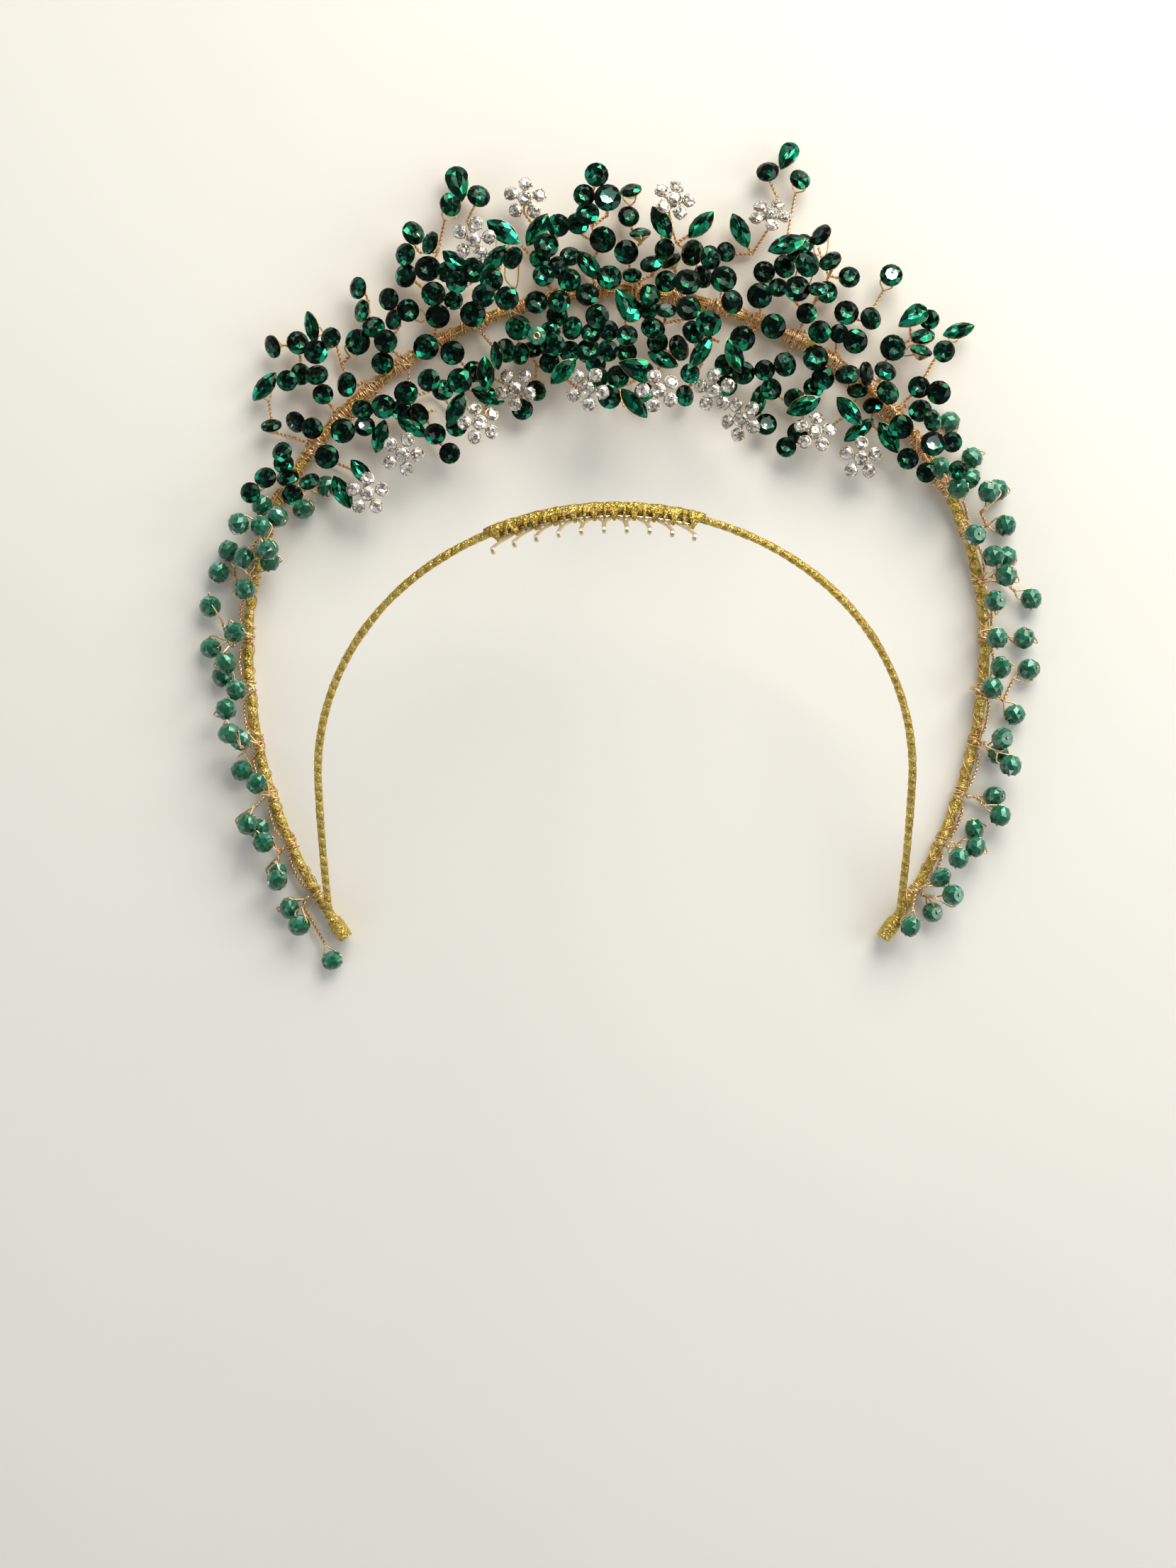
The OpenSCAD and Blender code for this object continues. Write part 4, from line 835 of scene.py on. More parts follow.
def sweep(piece, path, radius, sides, shade, frame_of=None):
    """A tube along a path; the radius may change from ring to ring and round each ring."""
    path = np.asarray(path, float)
    _, n, b = frame_of or frames(path)
    angle = circle(sides)
    r = np.broadcast_to(np.asarray(radius, float).reshape(-1, 1) if np.ndim(radius) == 1 else radius,
                        (len(path), sides))
    ring = np.cos(angle)[None, :, None] * n[:, None, :] + np.sin(angle)[None, :, None] * b[:, None, :]
    points = (path[:, None, :] + r[:, :, None] * ring).reshape(-1, 3)
    points = np.concatenate([points, path[:1], path[-1:]])
    piece.add(points, tube_faces(len(path), sides), shade)


def resampled(path, step):
    """Points at even steps along a path of points."""
    path = np.asarray(path, float)
    run = np.concatenate([[0], np.cumsum(np.linalg.norm(np.diff(path, axis=0), axis=1))])
    number = max(2, int(round(run[-1] / step)) + 1)
    at = np.linspace(0, run[-1], number)
    return np.stack([np.interp(at, run, path[:, i]) for i in range(3)], -1)


def smooth_path(points, each=12):
    """A smooth curve through a few points."""
    p = [np.asarray(q, float) for q in points]
    p = [2 * p[0] - p[1]] + p + [2 * p[-1] - p[-2]]
    out = []
    for a, b, c, d in zip(p, p[1:], p[2:], p[3:]):
        for u in np.arange(each) / each:
            out.append(0.5 * (2 * b + (c - a) * u + (2 * a - 5 * b + 4 * c - d) * u * u
                              + (3 * b - a - 3 * c + d) * u ** 3))
    return np.array(out + [p[-2]])


def bent(a, b, c):
    """A curve from a to c that leaves towards b."""
    u = np.linspace(0, 1, 14)[:, None]
    return (1 - u) ** 2 * a + 2 * u * (1 - u) * b + u * u * c


# Each strand of a twig, and how far apart the strands' turns are
STRAND_R = 0.24
TWIST = 2.2
TWIST_RINGS = 8
TWIST_SIDES = 5


def twisted(piece, path):
    """Two strands twisted round each other along a path."""
    path = resampled(path, TWIST / TWIST_RINGS)
    if len(path) < 4:
        return
    _, n, b = frames(path)
    phase = np.arange(len(path)) / TWIST_RINGS * 2 * math.pi + dice.uniform(0, 6)
    shade = dice.uniform(0.3, 0.7)
    for half in (0, math.pi):
        c, s = np.cos(phase + half)[:, None], np.sin(phase + half)[:, None]
        radial = c * n + s * b
        strand = path + radial * STRAND_R * 1.02
        lead = directions(strand)
        sweep(piece, strand, STRAND_R, TWIST_SIDES, shade, (lead, radial, np.cross(lead, radial)))


def ball(piece, place, radius):
    """A small blob of wire."""
    lat = np.linspace(-80, 80, 5)
    path = np.array([place + np.array([0, 0, radius * sind(a)]) for a in lat])
    axes = [np.tile(way, (len(lat), 1)) for way in ((0, 0, 1.0), (1.0, 0, 0), (0, 1.0, 0))]
    sweep(piece, path, np.array([radius * cosd(a) for a in lat]), 8, 0.5, axes)


# Materials

def new_material(name):
    """A material, its node tree and its main shader."""
    material = bpy.data.materials.new(name)
    material.use_nodes = True
    tree = material.node_tree
    return material, tree, tree.nodes["Principled BSDF"]


def feed(tree, node, inputs):
    """Gives a node's inputs what they take: a value, or another node's output."""
    for name, value in inputs.items():
        if isinstance(value, bpy.types.NodeSocket):
            tree.links.new(value, node.inputs[name])
        else:
            node.inputs[name].default_value = value


def add_node(tree, kind, inputs, **settings):
    """A node with its inputs and some settings."""
    made = tree.nodes.new("ShaderNode" + kind)
    for name, value in settings.items():
        setattr(made, name, value)
    feed(tree, made, inputs)
    return made


def ramp(tree, factor, stops):
    """A colour ramp: stops are place, red, green, blue."""
    made = add_node(tree, "ValToRGB", {"Fac": factor})
    elements = made.color_ramp.elements
    elements[0].position, elements[1].position = stops[0][0], stops[-1][0]
    for place, *_ in stops[1:-1]:
        elements.new(place)
    for element, (_, r, g, b) in zip(elements, stops):
        element.color = (r, g, b, 1)
    return made.outputs["Color"]


def object_place(tree):
    return add_node(tree, "TexCoord", {}).outputs["Object"]


def face_shade(tree):
    return add_node(tree, "Attribute", {}, attribute_name="shade").outputs["Fac"]


def stone_material(name, stops, metallic, roughness, coat, specular=0.5):
    """Foiled glass: each facet has its own painted shade, a painted reflection of light inside the stone,
    under a clear polished surface.
    """
    material, tree, shader = new_material(name)
    shade = face_shade(tree)
    cloud = add_node(tree, "TexNoise", {"Vector": object_place(tree), "Scale": 900.0, "Detail": 2.0})
    mixed = add_node(tree, "Math", {0: cloud.outputs["Fac"], 1: 0.1, 2: -0.05}, operation="MULTIPLY_ADD")
    total = add_node(tree, "Math", {0: shade, 1: mixed.outputs[0]}, operation="ADD", use_clamp=True)
    feed(tree, shader, {
        "Base Color": ramp(tree, total.outputs[0], stops), "Metallic": metallic, "Roughness": roughness,
        "Coat Weight": coat, "Coat Roughness": 0.03, "Specular IOR Level": specular,
    })
    return material


def metal_material(name, stops, roughness, grain, depth, metallic=1.0):
    """Metal with a fine grain in its colour and its surface."""
    material, tree, shader = new_material(name)
    noise = add_node(tree, "TexNoise", {"Vector": object_place(tree), "Scale": grain, "Detail": 3.0})
    shade = face_shade(tree)
    mixed = add_node(tree, "Mix", {0: 0.5, 2: shade, 3: noise.outputs["Fac"]}, data_type="FLOAT")
    colour = ramp(tree, mixed.outputs[0], stops)
    rough = add_node(tree, "MapRange", {"Value": noise.outputs["Fac"], "To Min": roughness * 0.7,
                                        "To Max": roughness * 1.4})
    bump = add_node(tree, "Bump", {"Height": noise.outputs["Fac"], "Strength": 0.3, "Distance": depth})
    feed(tree, shader, {"Base Color": colour, "Roughness": rough.outputs[0], "Normal": bump.outputs[0],
                        "Metallic": metallic})
    return material


def braid_material(name, stops, flake, sparkle):
    """Glitter tape: small metal flakes, each tilted its own way, over crimped threads."""
    material, tree, shader = new_material(name)
    place = object_place(tree)
    cells = add_node(tree, "TexVoronoi", {"Vector": place, "Scale": 1 / (flake * MM), "Randomness": 1.0})
    parts = add_node(tree, "SeparateColor", {"Color": cells.outputs["Color"]})
    cloud = add_node(tree, "TexNoise", {"Vector": place, "Scale": 260.0, "Detail": 4.0})
    shade = face_shade(tree)
    worn = add_node(tree, "Mix", {0: 0.55, 2: parts.outputs[0], 3: cloud.outputs["Fac"]}, data_type="FLOAT")
    # Half from the face shade, which on the wound hoops is painted shade along the winding
    total = add_node(tree, "Mix", {0: 0.5, 2: worn.outputs[0], 3: shade}, data_type="FLOAT")
    colour = ramp(tree, total.outputs[0], stops)
    middle = (0.5, 0.5, 0.5)
    tilt = add_node(tree, "VectorMath", {0: cells.outputs["Color"], 1: middle}, operation="SUBTRACT")
    more = add_node(tree, "VectorMath", {0: tilt.outputs[0], "Scale": sparkle}, operation="SCALE")
    grain = add_node(tree, "Bump", {"Height": cells.outputs["Distance"], "Strength": 0.6,
                                    "Distance": 0.0001})
    normal = add_node(tree, "VectorMath", {0: grain.outputs[0], 1: more.outputs[0]}, operation="ADD")
    unit = add_node(tree, "VectorMath", {0: normal.outputs[0]}, operation="NORMALIZE")
    rough = add_node(tree, "MapRange", {"Value": parts.outputs[1], "To Min": 0.22, "To Max": 0.5})
    feed(tree, shader, {"Base Color": colour, "Normal": unit.outputs[0], "Roughness": rough.outputs[0],
                        "Metallic": 0.9})
    return material


# Stone tones: dark glass up to painted glints, and at the top the painted pale reflection in a mirrored table
EMERALD = stone_material("emerald_glass", [
    (0.0, 0.0004, 0.003, 0.002), (0.3, 0.0008, 0.01, 0.006), (0.5, 0.001, 0.035, 0.017),
    (0.66, 0.002, 0.13, 0.06), (0.8, 0.006, 0.32, 0.15), (0.9, 0.02, 0.56, 0.34), (0.95, 0.34, 0.43, 0.4),
], 0.85, 0.12, 0.22, 0.25)
# Flower stone tones: painted reflections, from dark up to a painted white glint
CLEAR = stone_material("clear_glass", [
    (0.0, 0.05, 0.042, 0.03), (0.25, 0.2, 0.17, 0.13), (0.5, 0.5, 0.46, 0.4), (0.72, 0.86, 0.84, 0.8),
    (1.0, 1.0, 1.0, 1.0),
], 0.6, 0.08, 1.0)
# The top stops are the beads' painted sheen and painted glint
JADE = stone_material("jade_glass", [
    (0.0, 0.002, 0.045, 0.022), (0.35, 0.004, 0.115, 0.055), (0.6, 0.012, 0.21, 0.11), (0.8, 0.05, 0.3, 0.21),
    (0.93, 0.16, 0.4, 0.36), (1.0, 0.7, 0.85, 0.9),
], 0.25, 0.12, 0.8)
COPPER = metal_material("copper_wire", [
    (0.2, 0.45, 0.22, 0.08), (0.42, 0.88, 0.55, 0.26), (0.7, 1.0, 0.85, 0.58),
], 0.26, 2600.0, 0.00003, 0.85)
GILT = metal_material("gilt_foil", [
    (0.2, 0.3, 0.2, 0.06), (0.5, 0.6, 0.44, 0.18), (0.85, 0.85, 0.7, 0.4),
], 0.3, 1500.0, 0.00004)
SILVER = metal_material("silver_gilt", [
    (0.2, 0.36, 0.3, 0.22), (0.5, 0.66, 0.6, 0.48), (0.85, 0.93, 0.88, 0.78),
], 0.22, 1500.0, 0.00004)
BRAID = braid_material("braid_gold", [
    (0.15, 0.13, 0.085, 0.011), (0.4, 0.42, 0.29, 0.05), (0.62, 0.76, 0.57, 0.16), (0.85, 1.0, 0.9, 0.54),
], 0.26, 0.9)
COMB_GOLD = metal_material("comb_gold", [
    (0.2, 0.74, 0.6, 0.38), (0.5, 0.87, 0.76, 0.54), (0.85, 0.95, 0.88, 0.7),
], 0.3, 500.0, 0.00003)


# Stones

GIRDLE = 16
GIRDLE_H = 0.25
SIDES8 = np.arange(8)
NEXT8 = (SIDES8 + 1) % 8
SIDES16 = np.arange(16)
NEXT16 = (SIDES16 + 1) % 16
# Point numbers of a cut stone: table, crown's middle, girdle's top and bottom, table's inner ring, centre
T, M, G, H, I, C = 0, 8, 16, 32, 48, 56
TABLE_FACES = np.concatenate([
    np.stack([T + SIDES8, T + NEXT8, I + SIDES8], -1),
    np.stack([T + NEXT8, I + NEXT8, I + SIDES8], -1),
    np.stack([I + SIDES8, I + NEXT8, np.full(8, C)], -1),
])
STAR_FACES = np.stack([T + SIDES8, M + SIDES8, T + NEXT8], -1)
KITE_FACES = np.stack([T + NEXT8, M + SIDES8, G + 2 * NEXT8, M + NEXT8], -1)
HALF_FACES = np.concatenate([
    np.stack([M + SIDES8, G + 2 * SIDES8, G + 2 * SIDES8 + 1], -1),
    np.stack([M + SIDES8, G + 2 * SIDES8 + 1, G + 2 * NEXT8], -1),
])
GIRDLE_FACES = np.stack([G + SIDES16, H + SIDES16, H + NEXT16, G + NEXT16], -1)
CUT_FACES = [TABLE_FACES, STAR_FACES, KITE_FACES, HALF_FACES, GIRDLE_FACES]


def arc_y(x, half_l, w):
    """Half width of a navette at a place along it."""
    r = (half_l * half_l * 4 + w * w) / (4 * w)
    return np.sqrt(np.maximum(r * r - x * x, 0)) - (r - w / 2)


def girdle_outline(item):
    """A stone's outline as 16 points, and the middle it is cut about."""
    angle = circle(GIRDLE)
    c, s, size = np.cos(angle), np.sin(angle), item.size
    if item.kind == "navette":
        x = size / 2 * c
        return np.stack([x, np.sign(np.round(s, 6)) * arc_y(x, size / 2, size * NAVETTE_SHARE)], -1), (0, 0)
    if item.kind == "pear":
        w = size * 0.61
        half_l = size - w / 2
        front = c > 1e-6
        x = np.where(front, half_l * c, w / 2 * c)
        y = np.where(front, np.sign(np.round(s, 6)) * arc_y(x, half_l, w), w / 2 * s)
        shift = np.array([-(size - w) / 2, 0])
        return np.stack([x, y], -1) + shift, shift + (0.08 * size, 0)
    return np.stack([c, s], -1) * size / 2, (0, 0)


def stacked(rows):
    """Points of flat outlines, each at its own height."""
    return np.concatenate([np.column_stack([xy, np.full(len(xy), z)]) for xy, z in rows])


def cut_points(outline, middle, table, top, dish):
    """The 57 points of a cut stone's crown and girdle."""
    middle = np.asarray(middle, float)
    out = outline - middle
    mid_share = 0.82 if table < 0.62 else 0.88
    mid_z = GIRDLE_H + (top - GIRDLE_H) * (1 - mid_share * cosd(22.5)) / (1 - table)
    inner = 0.45 * table * cosd(22.5) * (out[::2] + np.roll(out[::2], -1, 0)) / 2
    rows = [
        (out[::2] * table, top), (out[1::2] * mid_share, mid_z), (out, GIRDLE_H), (out, -GIRDLE_H),
        (inner, top - dish * 0.5), (np.zeros((1, 2)), top - dish),
    ]
    return stacked([(xy + middle, z) for xy, z in rows])


# The brightest painted tone a crown facet may have, a painted glint of light sent back; paler tones are
# painted reflections of the sky
BRIGHTEST = 0.86


# Rings of facets on the table and on the crown: turn of the first, darkest and brightest painted tone by
# chance, and how much painted glint they gain towards the side where the light leaves the stone
TABLE_TONES = [(22.5, 0.12, 0.75, 0.25), (45, 0.12, 0.8, 0.3), (22.5, 0.0, 0.4, 0.05)]
CROWN_TONES = [(22.5, 0.1, 0.8, 0.3), (45, 0.08, 0.8, 0.4), (12, 0.04, 0.75, 0.45), (34, 0.04, 0.75, 0.45)]
GIRDLE_TONE = 0.2


def facet_shades(glow, base, pale):
    """A painted shade for each facet, standing in for reflections inside the glass: mostly dark, with painted
    glints towards the side where the light leaves it.
    """
    def around(turn, low, high, lift):
        near = np.array([max(0.0, cosd(a - glow)) ** 3 for a in SIDES8 * 45 + turn])
        chance = np.array([dice.random() ** 1.7 for _ in SIDES8])
        return low + (high - low) * chance + lift * near + base
    table = [around(*tones) for tones in TABLE_TONES]
    # A painted reflection covers the whole table
    if pale is not None:
        table = [np.clip(s * 0.06 + pale, 0, 1) for s in table]
    crown = [np.clip(around(*tones), 0, BRIGHTEST) for tones in CROWN_TONES]
    return np.clip(np.concatenate([*table, *crown, np.full(GIRDLE, GIRDLE_TONE)]), 0, 1)


def back_faces(rows):
    """Faces of rings of 16 points that run down a stone's back, closed at the end."""
    starts = [r * 16 for r in range(rows)]
    walls = [
        np.stack([a + SIDES16, b + SIDES16, b + NEXT16, a + NEXT16], -1)
        for a, b in zip(starts, starts[1:])
    ]
    cap = np.stack([starts[-1] + NEXT16, starts[-1] + SIDES16, np.full(16, rows * 16)], -1)
    return [np.concatenate(walls), cap]


def add_back(cups, outline, middle, depth, item):
    """The foiled back, pointed but for a small flat, with a fine lip below the girdle."""
    out = outline - np.asarray(middle, float)
    lip = 1.02 if item.long else 0.995
    rows = [(0.97, -GIRDLE_H * 0.8), (lip, -GIRDLE_H), (lip, -GIRDLE_H - 0.14), (0.96, -GIRDLE_H - 0.18),
            (0.6, -depth * 0.62), (0.25, -depth)]
    points = stacked([(out * share + middle, z) for share, z in rows] + [([middle], -depth)])
    shades = np.array([dice.uniform(0.25, 0.75) for _ in range(16 * len(rows))])
    cups.add(points, back_faces(len(rows)), shades, item.axes, item.place)


# Stones whose table is painted with a reflection of what it mirrored when the crown was charted, pale, or
# dark for a tone below zero: x, y, tone
PAINTED_TABLE_REFLECTIONS = [
    [38.7, 130.0, 0.97],
    [71.1, 168.6, 0.96],
    [-2.3, 188.7, 0.92],
    [81.9, 125.0, 0.96],
    [12.8, 159.6, 0.97],
    [-65.2, 129.5, 0.93],
    [-47.0, 127.5, -0.1],
]


def table_tone(item):
    for x, y, tone in PAINTED_TABLE_REFLECTIONS:
        if math.hypot(item.x - x, item.y - y) < 0.5:
            return tone
    return None


def add_stone(stones, cups, item):
    """A cut stone with its foiled back."""
    outline, middle = girdle_outline(item)
    share = LONG_TABLE if item.long else TABLE_SHARE
    base = 0.16 if item.long else dice.uniform(-0.14, 0.06)
    # The side where the painted glints gather: towards the bottom, spread at random
    glow = -90 + dice.uniform(-70, 70) - item.turn
    points = cut_points(outline, middle, share, item.crown_h(), 0.025 * item.size)
    shades = facet_shades(glow, base, table_tone(item))
    if item.long:
        shades = np.clip(shades, 0.3, BRIGHTEST)
    stones.add(points, CUT_FACES, shades, item.axes, item.place)
    add_back(cups, outline, middle, item.back_h(), item)


# Beads

BEAD_SIDES = 12
BEAD_HOLE = 0.5
# The way a bead's facets face when they get the most painted sheen, a pale painted reflection of the light
PAINTED_SHEEN_WAY = (0.1, 0.75, 0.35)


def zigzag_faces(n, rings, order):
    """Triangles between rings of points that each lie half a step round from the one before."""
    j, k = np.arange(n), (np.arange(n) + 1) % n
    faces = []
    for a, b in zip(rings, rings[1:]):
        faces.append(np.stack([a * n + j, a * n + k, b * n + j], -1)[:, order])
        faces.append(np.stack([a * n + k, b * n + k, b * n + j], -1)[:, order])
    return faces


# A bead seen along its hole, from the hole's rim over the outside and back: share of its radius, height
RING_ROWS = [(0.32, 0.75), (0.62, 1.0), (0.95, 0.45), (1.0, 0), (0.95, -0.5), (0.6, -1.4), (0.32, -1.4)]


def add_ring_bead(stones, cups, item):
    """A pale bead seen along its hole, with a gold eyelet."""
    n, r = BEAD_SIDES, item.size / 2
    angle = circle(n)
    points = np.concatenate([
        np.column_stack([np.cos(angle + row * math.pi / n) * share * r,
                         np.sin(angle + row * math.pi / n) * share * r, np.full(n, z)])
        for row, (share, z) in enumerate(RING_ROWS)])
    faces = zigzag_faces(n, [*range(len(RING_ROWS)), 0], (0, 2, 1))
    shades = [dice.uniform(0.45, 0.9) for _ in range(2 * n * len(RING_ROWS))]
    stones.add(points, faces, shades, item.axes, item.place)
    around = np.arange(25) * 2 * math.pi / 24
    for z in (0.75, -1.35):
        eyelet = np.column_stack([np.cos(around) * r * 0.31, np.sin(around) * r * 0.31, np.full(25, z)])
        sweep(cups, eyelet @ item.axes.T + item.place, 0.2, 6, 0.7)


def painted_sheen(corners, axes):
    """How much painted sheen a facet gets, a pale painted reflection: most on those that face towards the
    crown's top and up off the floor.
    """
    out = np.cross(corners[1] - corners[0], corners[2] - corners[0])
    out = axes @ (out / max(length(out), 1e-9))
    return 0.22 + 0.6 * max(0.0, float(np.dot(out, PAINTED_SHEEN_WAY))) ** 1.3


def add_bead(beads, item):
    """A faceted bead with a hole through it, along its own X."""
    n, r, half = BEAD_SIDES, item.size / 2, BEAD_L / 2
    rows = [(BEAD_HOLE, half - 0.3), (BEAD_HOLE, half), (r * 0.58, half), (r * 0.9, half * 0.52)]
    rows = [(radius, -x) for radius, x in rows] + [(r, 0)] + rows[::-1]
    angle = circle(n)
    points = []
    for row, (radius, x) in enumerate(rows):
        a = angle + row * math.pi / n
        points.append(np.column_stack([np.full(n, x), np.cos(a) * radius, np.sin(a) * radius]))
    faces = zigzag_faces(n, range(len(rows)), (0, 1, 2))
    points = np.concatenate(points)
    # Painted sheen with random tone, and one facet painted bright as a glint
    shades = [painted_sheen(points[face], item.axes) + dice.uniform(-0.22, 0.3) for face in np.concatenate(faces)]
    glint = dice.randrange(len(shades))
    shades[glint] = max(shades[glint], 1.0)
    beads.add(points, faces, np.clip(shades, 0, 1), item.axes, item.place)


def add_bead_loop(wires, item):
    """The two strands part at the mouth, pass the bead on each side and run into its hole."""
    p, mouth, n, r = item.place, mouth_of(item), item.axes[:, 0], item.size / 2 + 0.14
    away = (mouth - p) / length(mouth - p)
    for side in (-1, 1):
        end = side * n
        toward_mouth = float(np.dot(end, away))
        path = [mouth]
        if toward_mouth < -0.2:
            flank = np.cross(end, [0, 0, 1.0])
            flank = flank / length(flank)
            path += [p + (away * 0.35 + flank * 0.94) * r, p + (away * -0.25 + flank * 0.97) * r]
        elif toward_mouth < 0.85:
            way = away + 0.8 * end
            path.append(p + way / length(way) * r)
        path += [p + (BEAD_L / 2 + 0.25) * end, p + (BEAD_L / 2 - 0.6) * end]
        sweep(wires, smooth_path(path, 6), STRAND_R * 0.95, 5, dice.uniform(0.3, 0.8))


# Flowers

CLAWS = 4
# A small stone's cup, from its lip down: share of the stone's radius, height
CUP_ROWS = [(1.0, 0.05), (1.1, 0.1), (1.12, -0.15), (1.06, -0.6), (0.78, -1.25), (0.5, -1.4)]
# A claw, from its root over the stone's edge: share of the stone's radius, height, radius of the claw
CLAW_ROWS = [(1.13, -0.5, 0.2), (1.12, 0.12, 0.22), (0.98, 0.36, 0.2), (0.84, 0.4, 0.12)]
# The collar behind a flower: height, radius
COLLAR_ROWS = [(-0.9, 1.5), (-1.4, 1.6), (-2.2, 1.0), (-3.2, 0.95), (-3.6, 0.8)]


def add_small_stone(stones, cups, axes, place, d, turn):
    """A small clear stone in a cup with claws folded over its edge."""
    angle = circle(GIRDLE) + math.radians(turn)
    outline = np.column_stack([np.cos(angle), np.sin(angle)]) * d / 2
    points = cut_points(outline, (0, 0), TABLE_SHARE, d * CROWN_SHARE + 0.15, 0.1)
    # Painted reflections and glints on the facets, gathered towards a random side and made a little brighter
    shades = np.clip(facet_shades(dice.uniform(0, 360), 0.12, None) * 1.1, 0, 1)
    stones.add(points, CUT_FACES, shades, axes, place)
    cup = stacked([(outline * share, z) for share, z in CUP_ROWS] + [([(0, 0)], CUP_ROWS[-1][1])])
    cups.add(cup, back_faces(len(CUP_ROWS)), dice.uniform(0.4, 0.7), axes, place)
    for i in range(CLAWS):
        a = turn + 45 + i * 360 / CLAWS
        c, s = cosd(a) * d / 2, sind(a) * d / 2
        claw = np.array([[c * share, s * share, z] for share, z, _ in CLAW_ROWS])
        sweep(cups, claw @ axes.T + place, np.array([r for _, _, r in CLAW_ROWS]), 5, 0.75)


def add_flower(stones, cups, item):
    """Five clear stones round a sixth, joined by short arms, with a collar for the stem."""
    axes, place = item.axes, item.place
    add_small_stone(stones, cups, axes, place + axes @ np.array([0, 0, 0.6]), PETAL_D + 0.2, 10)
    for i in range(PETALS):
        about = turned_z(i * 360 / PETALS)
        petal_axes = axes @ about @ turned_y(PETAL_LEAN)
        spot = axes @ (about @ np.array([PETAL_REACH, 0, 0])) + place
        add_small_stone(stones, cups, petal_axes, spot, PETAL_D, dice.uniform(0, 45))
        arm = np.array([[0.2, 0, -0.9], [PETAL_REACH * 0.5, 0.1, -1.25], [PETAL_REACH, 0, -1.2]])
        sweep(cups, (arm @ about.T) @ axes.T + place, 0.36, 6, 0.4)
    collar = np.array([[0, 0, z] for z, _ in COLLAR_ROWS])
    sweep(cups, collar @ axes.T + place, np.array([r for _, r in COLLAR_ROWS]), 16, 0.5)


# Twigs and their lashings

def add_stem(wires, foot, start):
    """The twisted wire from where it branches to the item that it carries."""
    item, top = foot.item, foot.top
    if item is None:
        twisted(wires, np.array([start, foot.place]))
        return
    middle = foot.place
    if foot.children:
        if length(foot.place - start) > 0.5:
            twisted(wires, np.array([start, foot.place]))
        start = foot.place
        middle = foot.place + (0, 0, 0.5 * (top[2] - foot.z))
    path = bent(start, middle, top)
    out = start[:2] - top[:2]
    if not (item.flower or item.bead or foot.children) and length(out) > item.reach() + 3:
        add_fork(wires, item, path, out / length(out))
        return
    twisted(wires, path)
    if item.flower:
        twisted(wires, np.array([top, item.place - 2.0 * facing(item.lean, item.toward)]))
    if item.bead:
        add_bead_loop(wires, item)


# How far outside a stone's edge the strands part
FORK_OFF = 1.3


def add_fork(wires, item, path, out):
    """The strands part outside the stone's edge and run to both sides of its back."""
    reach = item.reach() + FORK_OFF
    near = [i for i, p in enumerate(path) if length(p[:2] - item.place[:2]) < reach]
    split = max(3, near[0] if near else len(path) - 2)
    twisted(wires, path[:split + 1])
    start = path[split]
    for side in (-1, 1):
        across = side * np.array([-out[1], out[0]])
        hold = item.place[:2] + (out * 0.25 + across * 0.75) * item.reach() * 0.8
        way = item.place[:2] + (out * 0.95 + across * 0.55) * item.reach()
        way_z, hold_z = item.plane_z(*way) - 0.7, item.plane_z(*hold) - 0.7
        strand = [start, np.array([*way, min(way_z, start[2] + 2.5)]), np.array([*hold, hold_z - 0.2])]
        sweep(wires, smooth_path(strand, 6), STRAND_R, 5, dice.uniform(0.3, 0.8))


# Wound wire

COIL_WIRE_R = 0.2
COIL_RINGS = 16


def by_band(s, angle, r):
    """Place beside the halo band: angle 0 is its outer side, and 90 its front."""
    x, y, turn = halo_at(s)
    across = r * cosd(angle)
    return flat(x - sind(turn) * across, y + cosd(turn) * across, BAND_Z + r * sind(angle))


def lumps(run, seed, spacing, depth):
    """Slow swelling and thinning, or wandering, along a wound hoop."""
    chance = random.Random(seed)
    knots = np.arange(-2, int(run[-1] / spacing) + 4) * spacing
    return np.interp(run, knots, [chance.uniform(-depth, depth) for _ in knots])


def add_coil(wires, h, first, last, radius, pitch, wire_r=COIL_WIRE_R):
    """Uneven turns of wire round the band at a lashing, from one place to another along it."""
    turns = max(1, int(abs(last - first) / pitch))
    run = np.arange(turns * COIL_RINGS + 1)
    angle = run * (360 / COIL_RINGS) + dice.uniform(0, 360)
    slack = lumps(run, dice.random(), 8, 0.07)
    drift = lumps(run, dice.random(), 16, 0.3) * pitch
    place = np.linspace(first, last, len(run)) + drift + LASHINGS[h]
    path = [by_band(s, a, radius + r) for s, a, r in zip(place, angle, slack)]
    sweep(wires, path, wire_r, 5, dice.uniform(0.2, 0.8))


def add_stray(wires, h, half, radius):
    """A short slanting strand over a lashing, with its ends tucked under the turns."""
    first, last = dice.uniform(-1, 0.2) * half, dice.uniform(-0.2, 1) * half
    angle, turned = dice.uniform(0, 90), dice.choice([-1, 1]) * dice.uniform(70, 150)
    path = []
    for u in np.linspace(0, 1, 9):
        r = radius - 0.5 * (2 * u - 1) ** 4 + dice.uniform(-0.04, 0.04)
        path.append(by_band(LASHINGS[h] + first + (last - first) * u, angle + turned * u, r))
    sweep(wires, smooth_path(path, 3), COIL_WIRE_R * 0.9, 5, dice.uniform(0.4, 1.0))


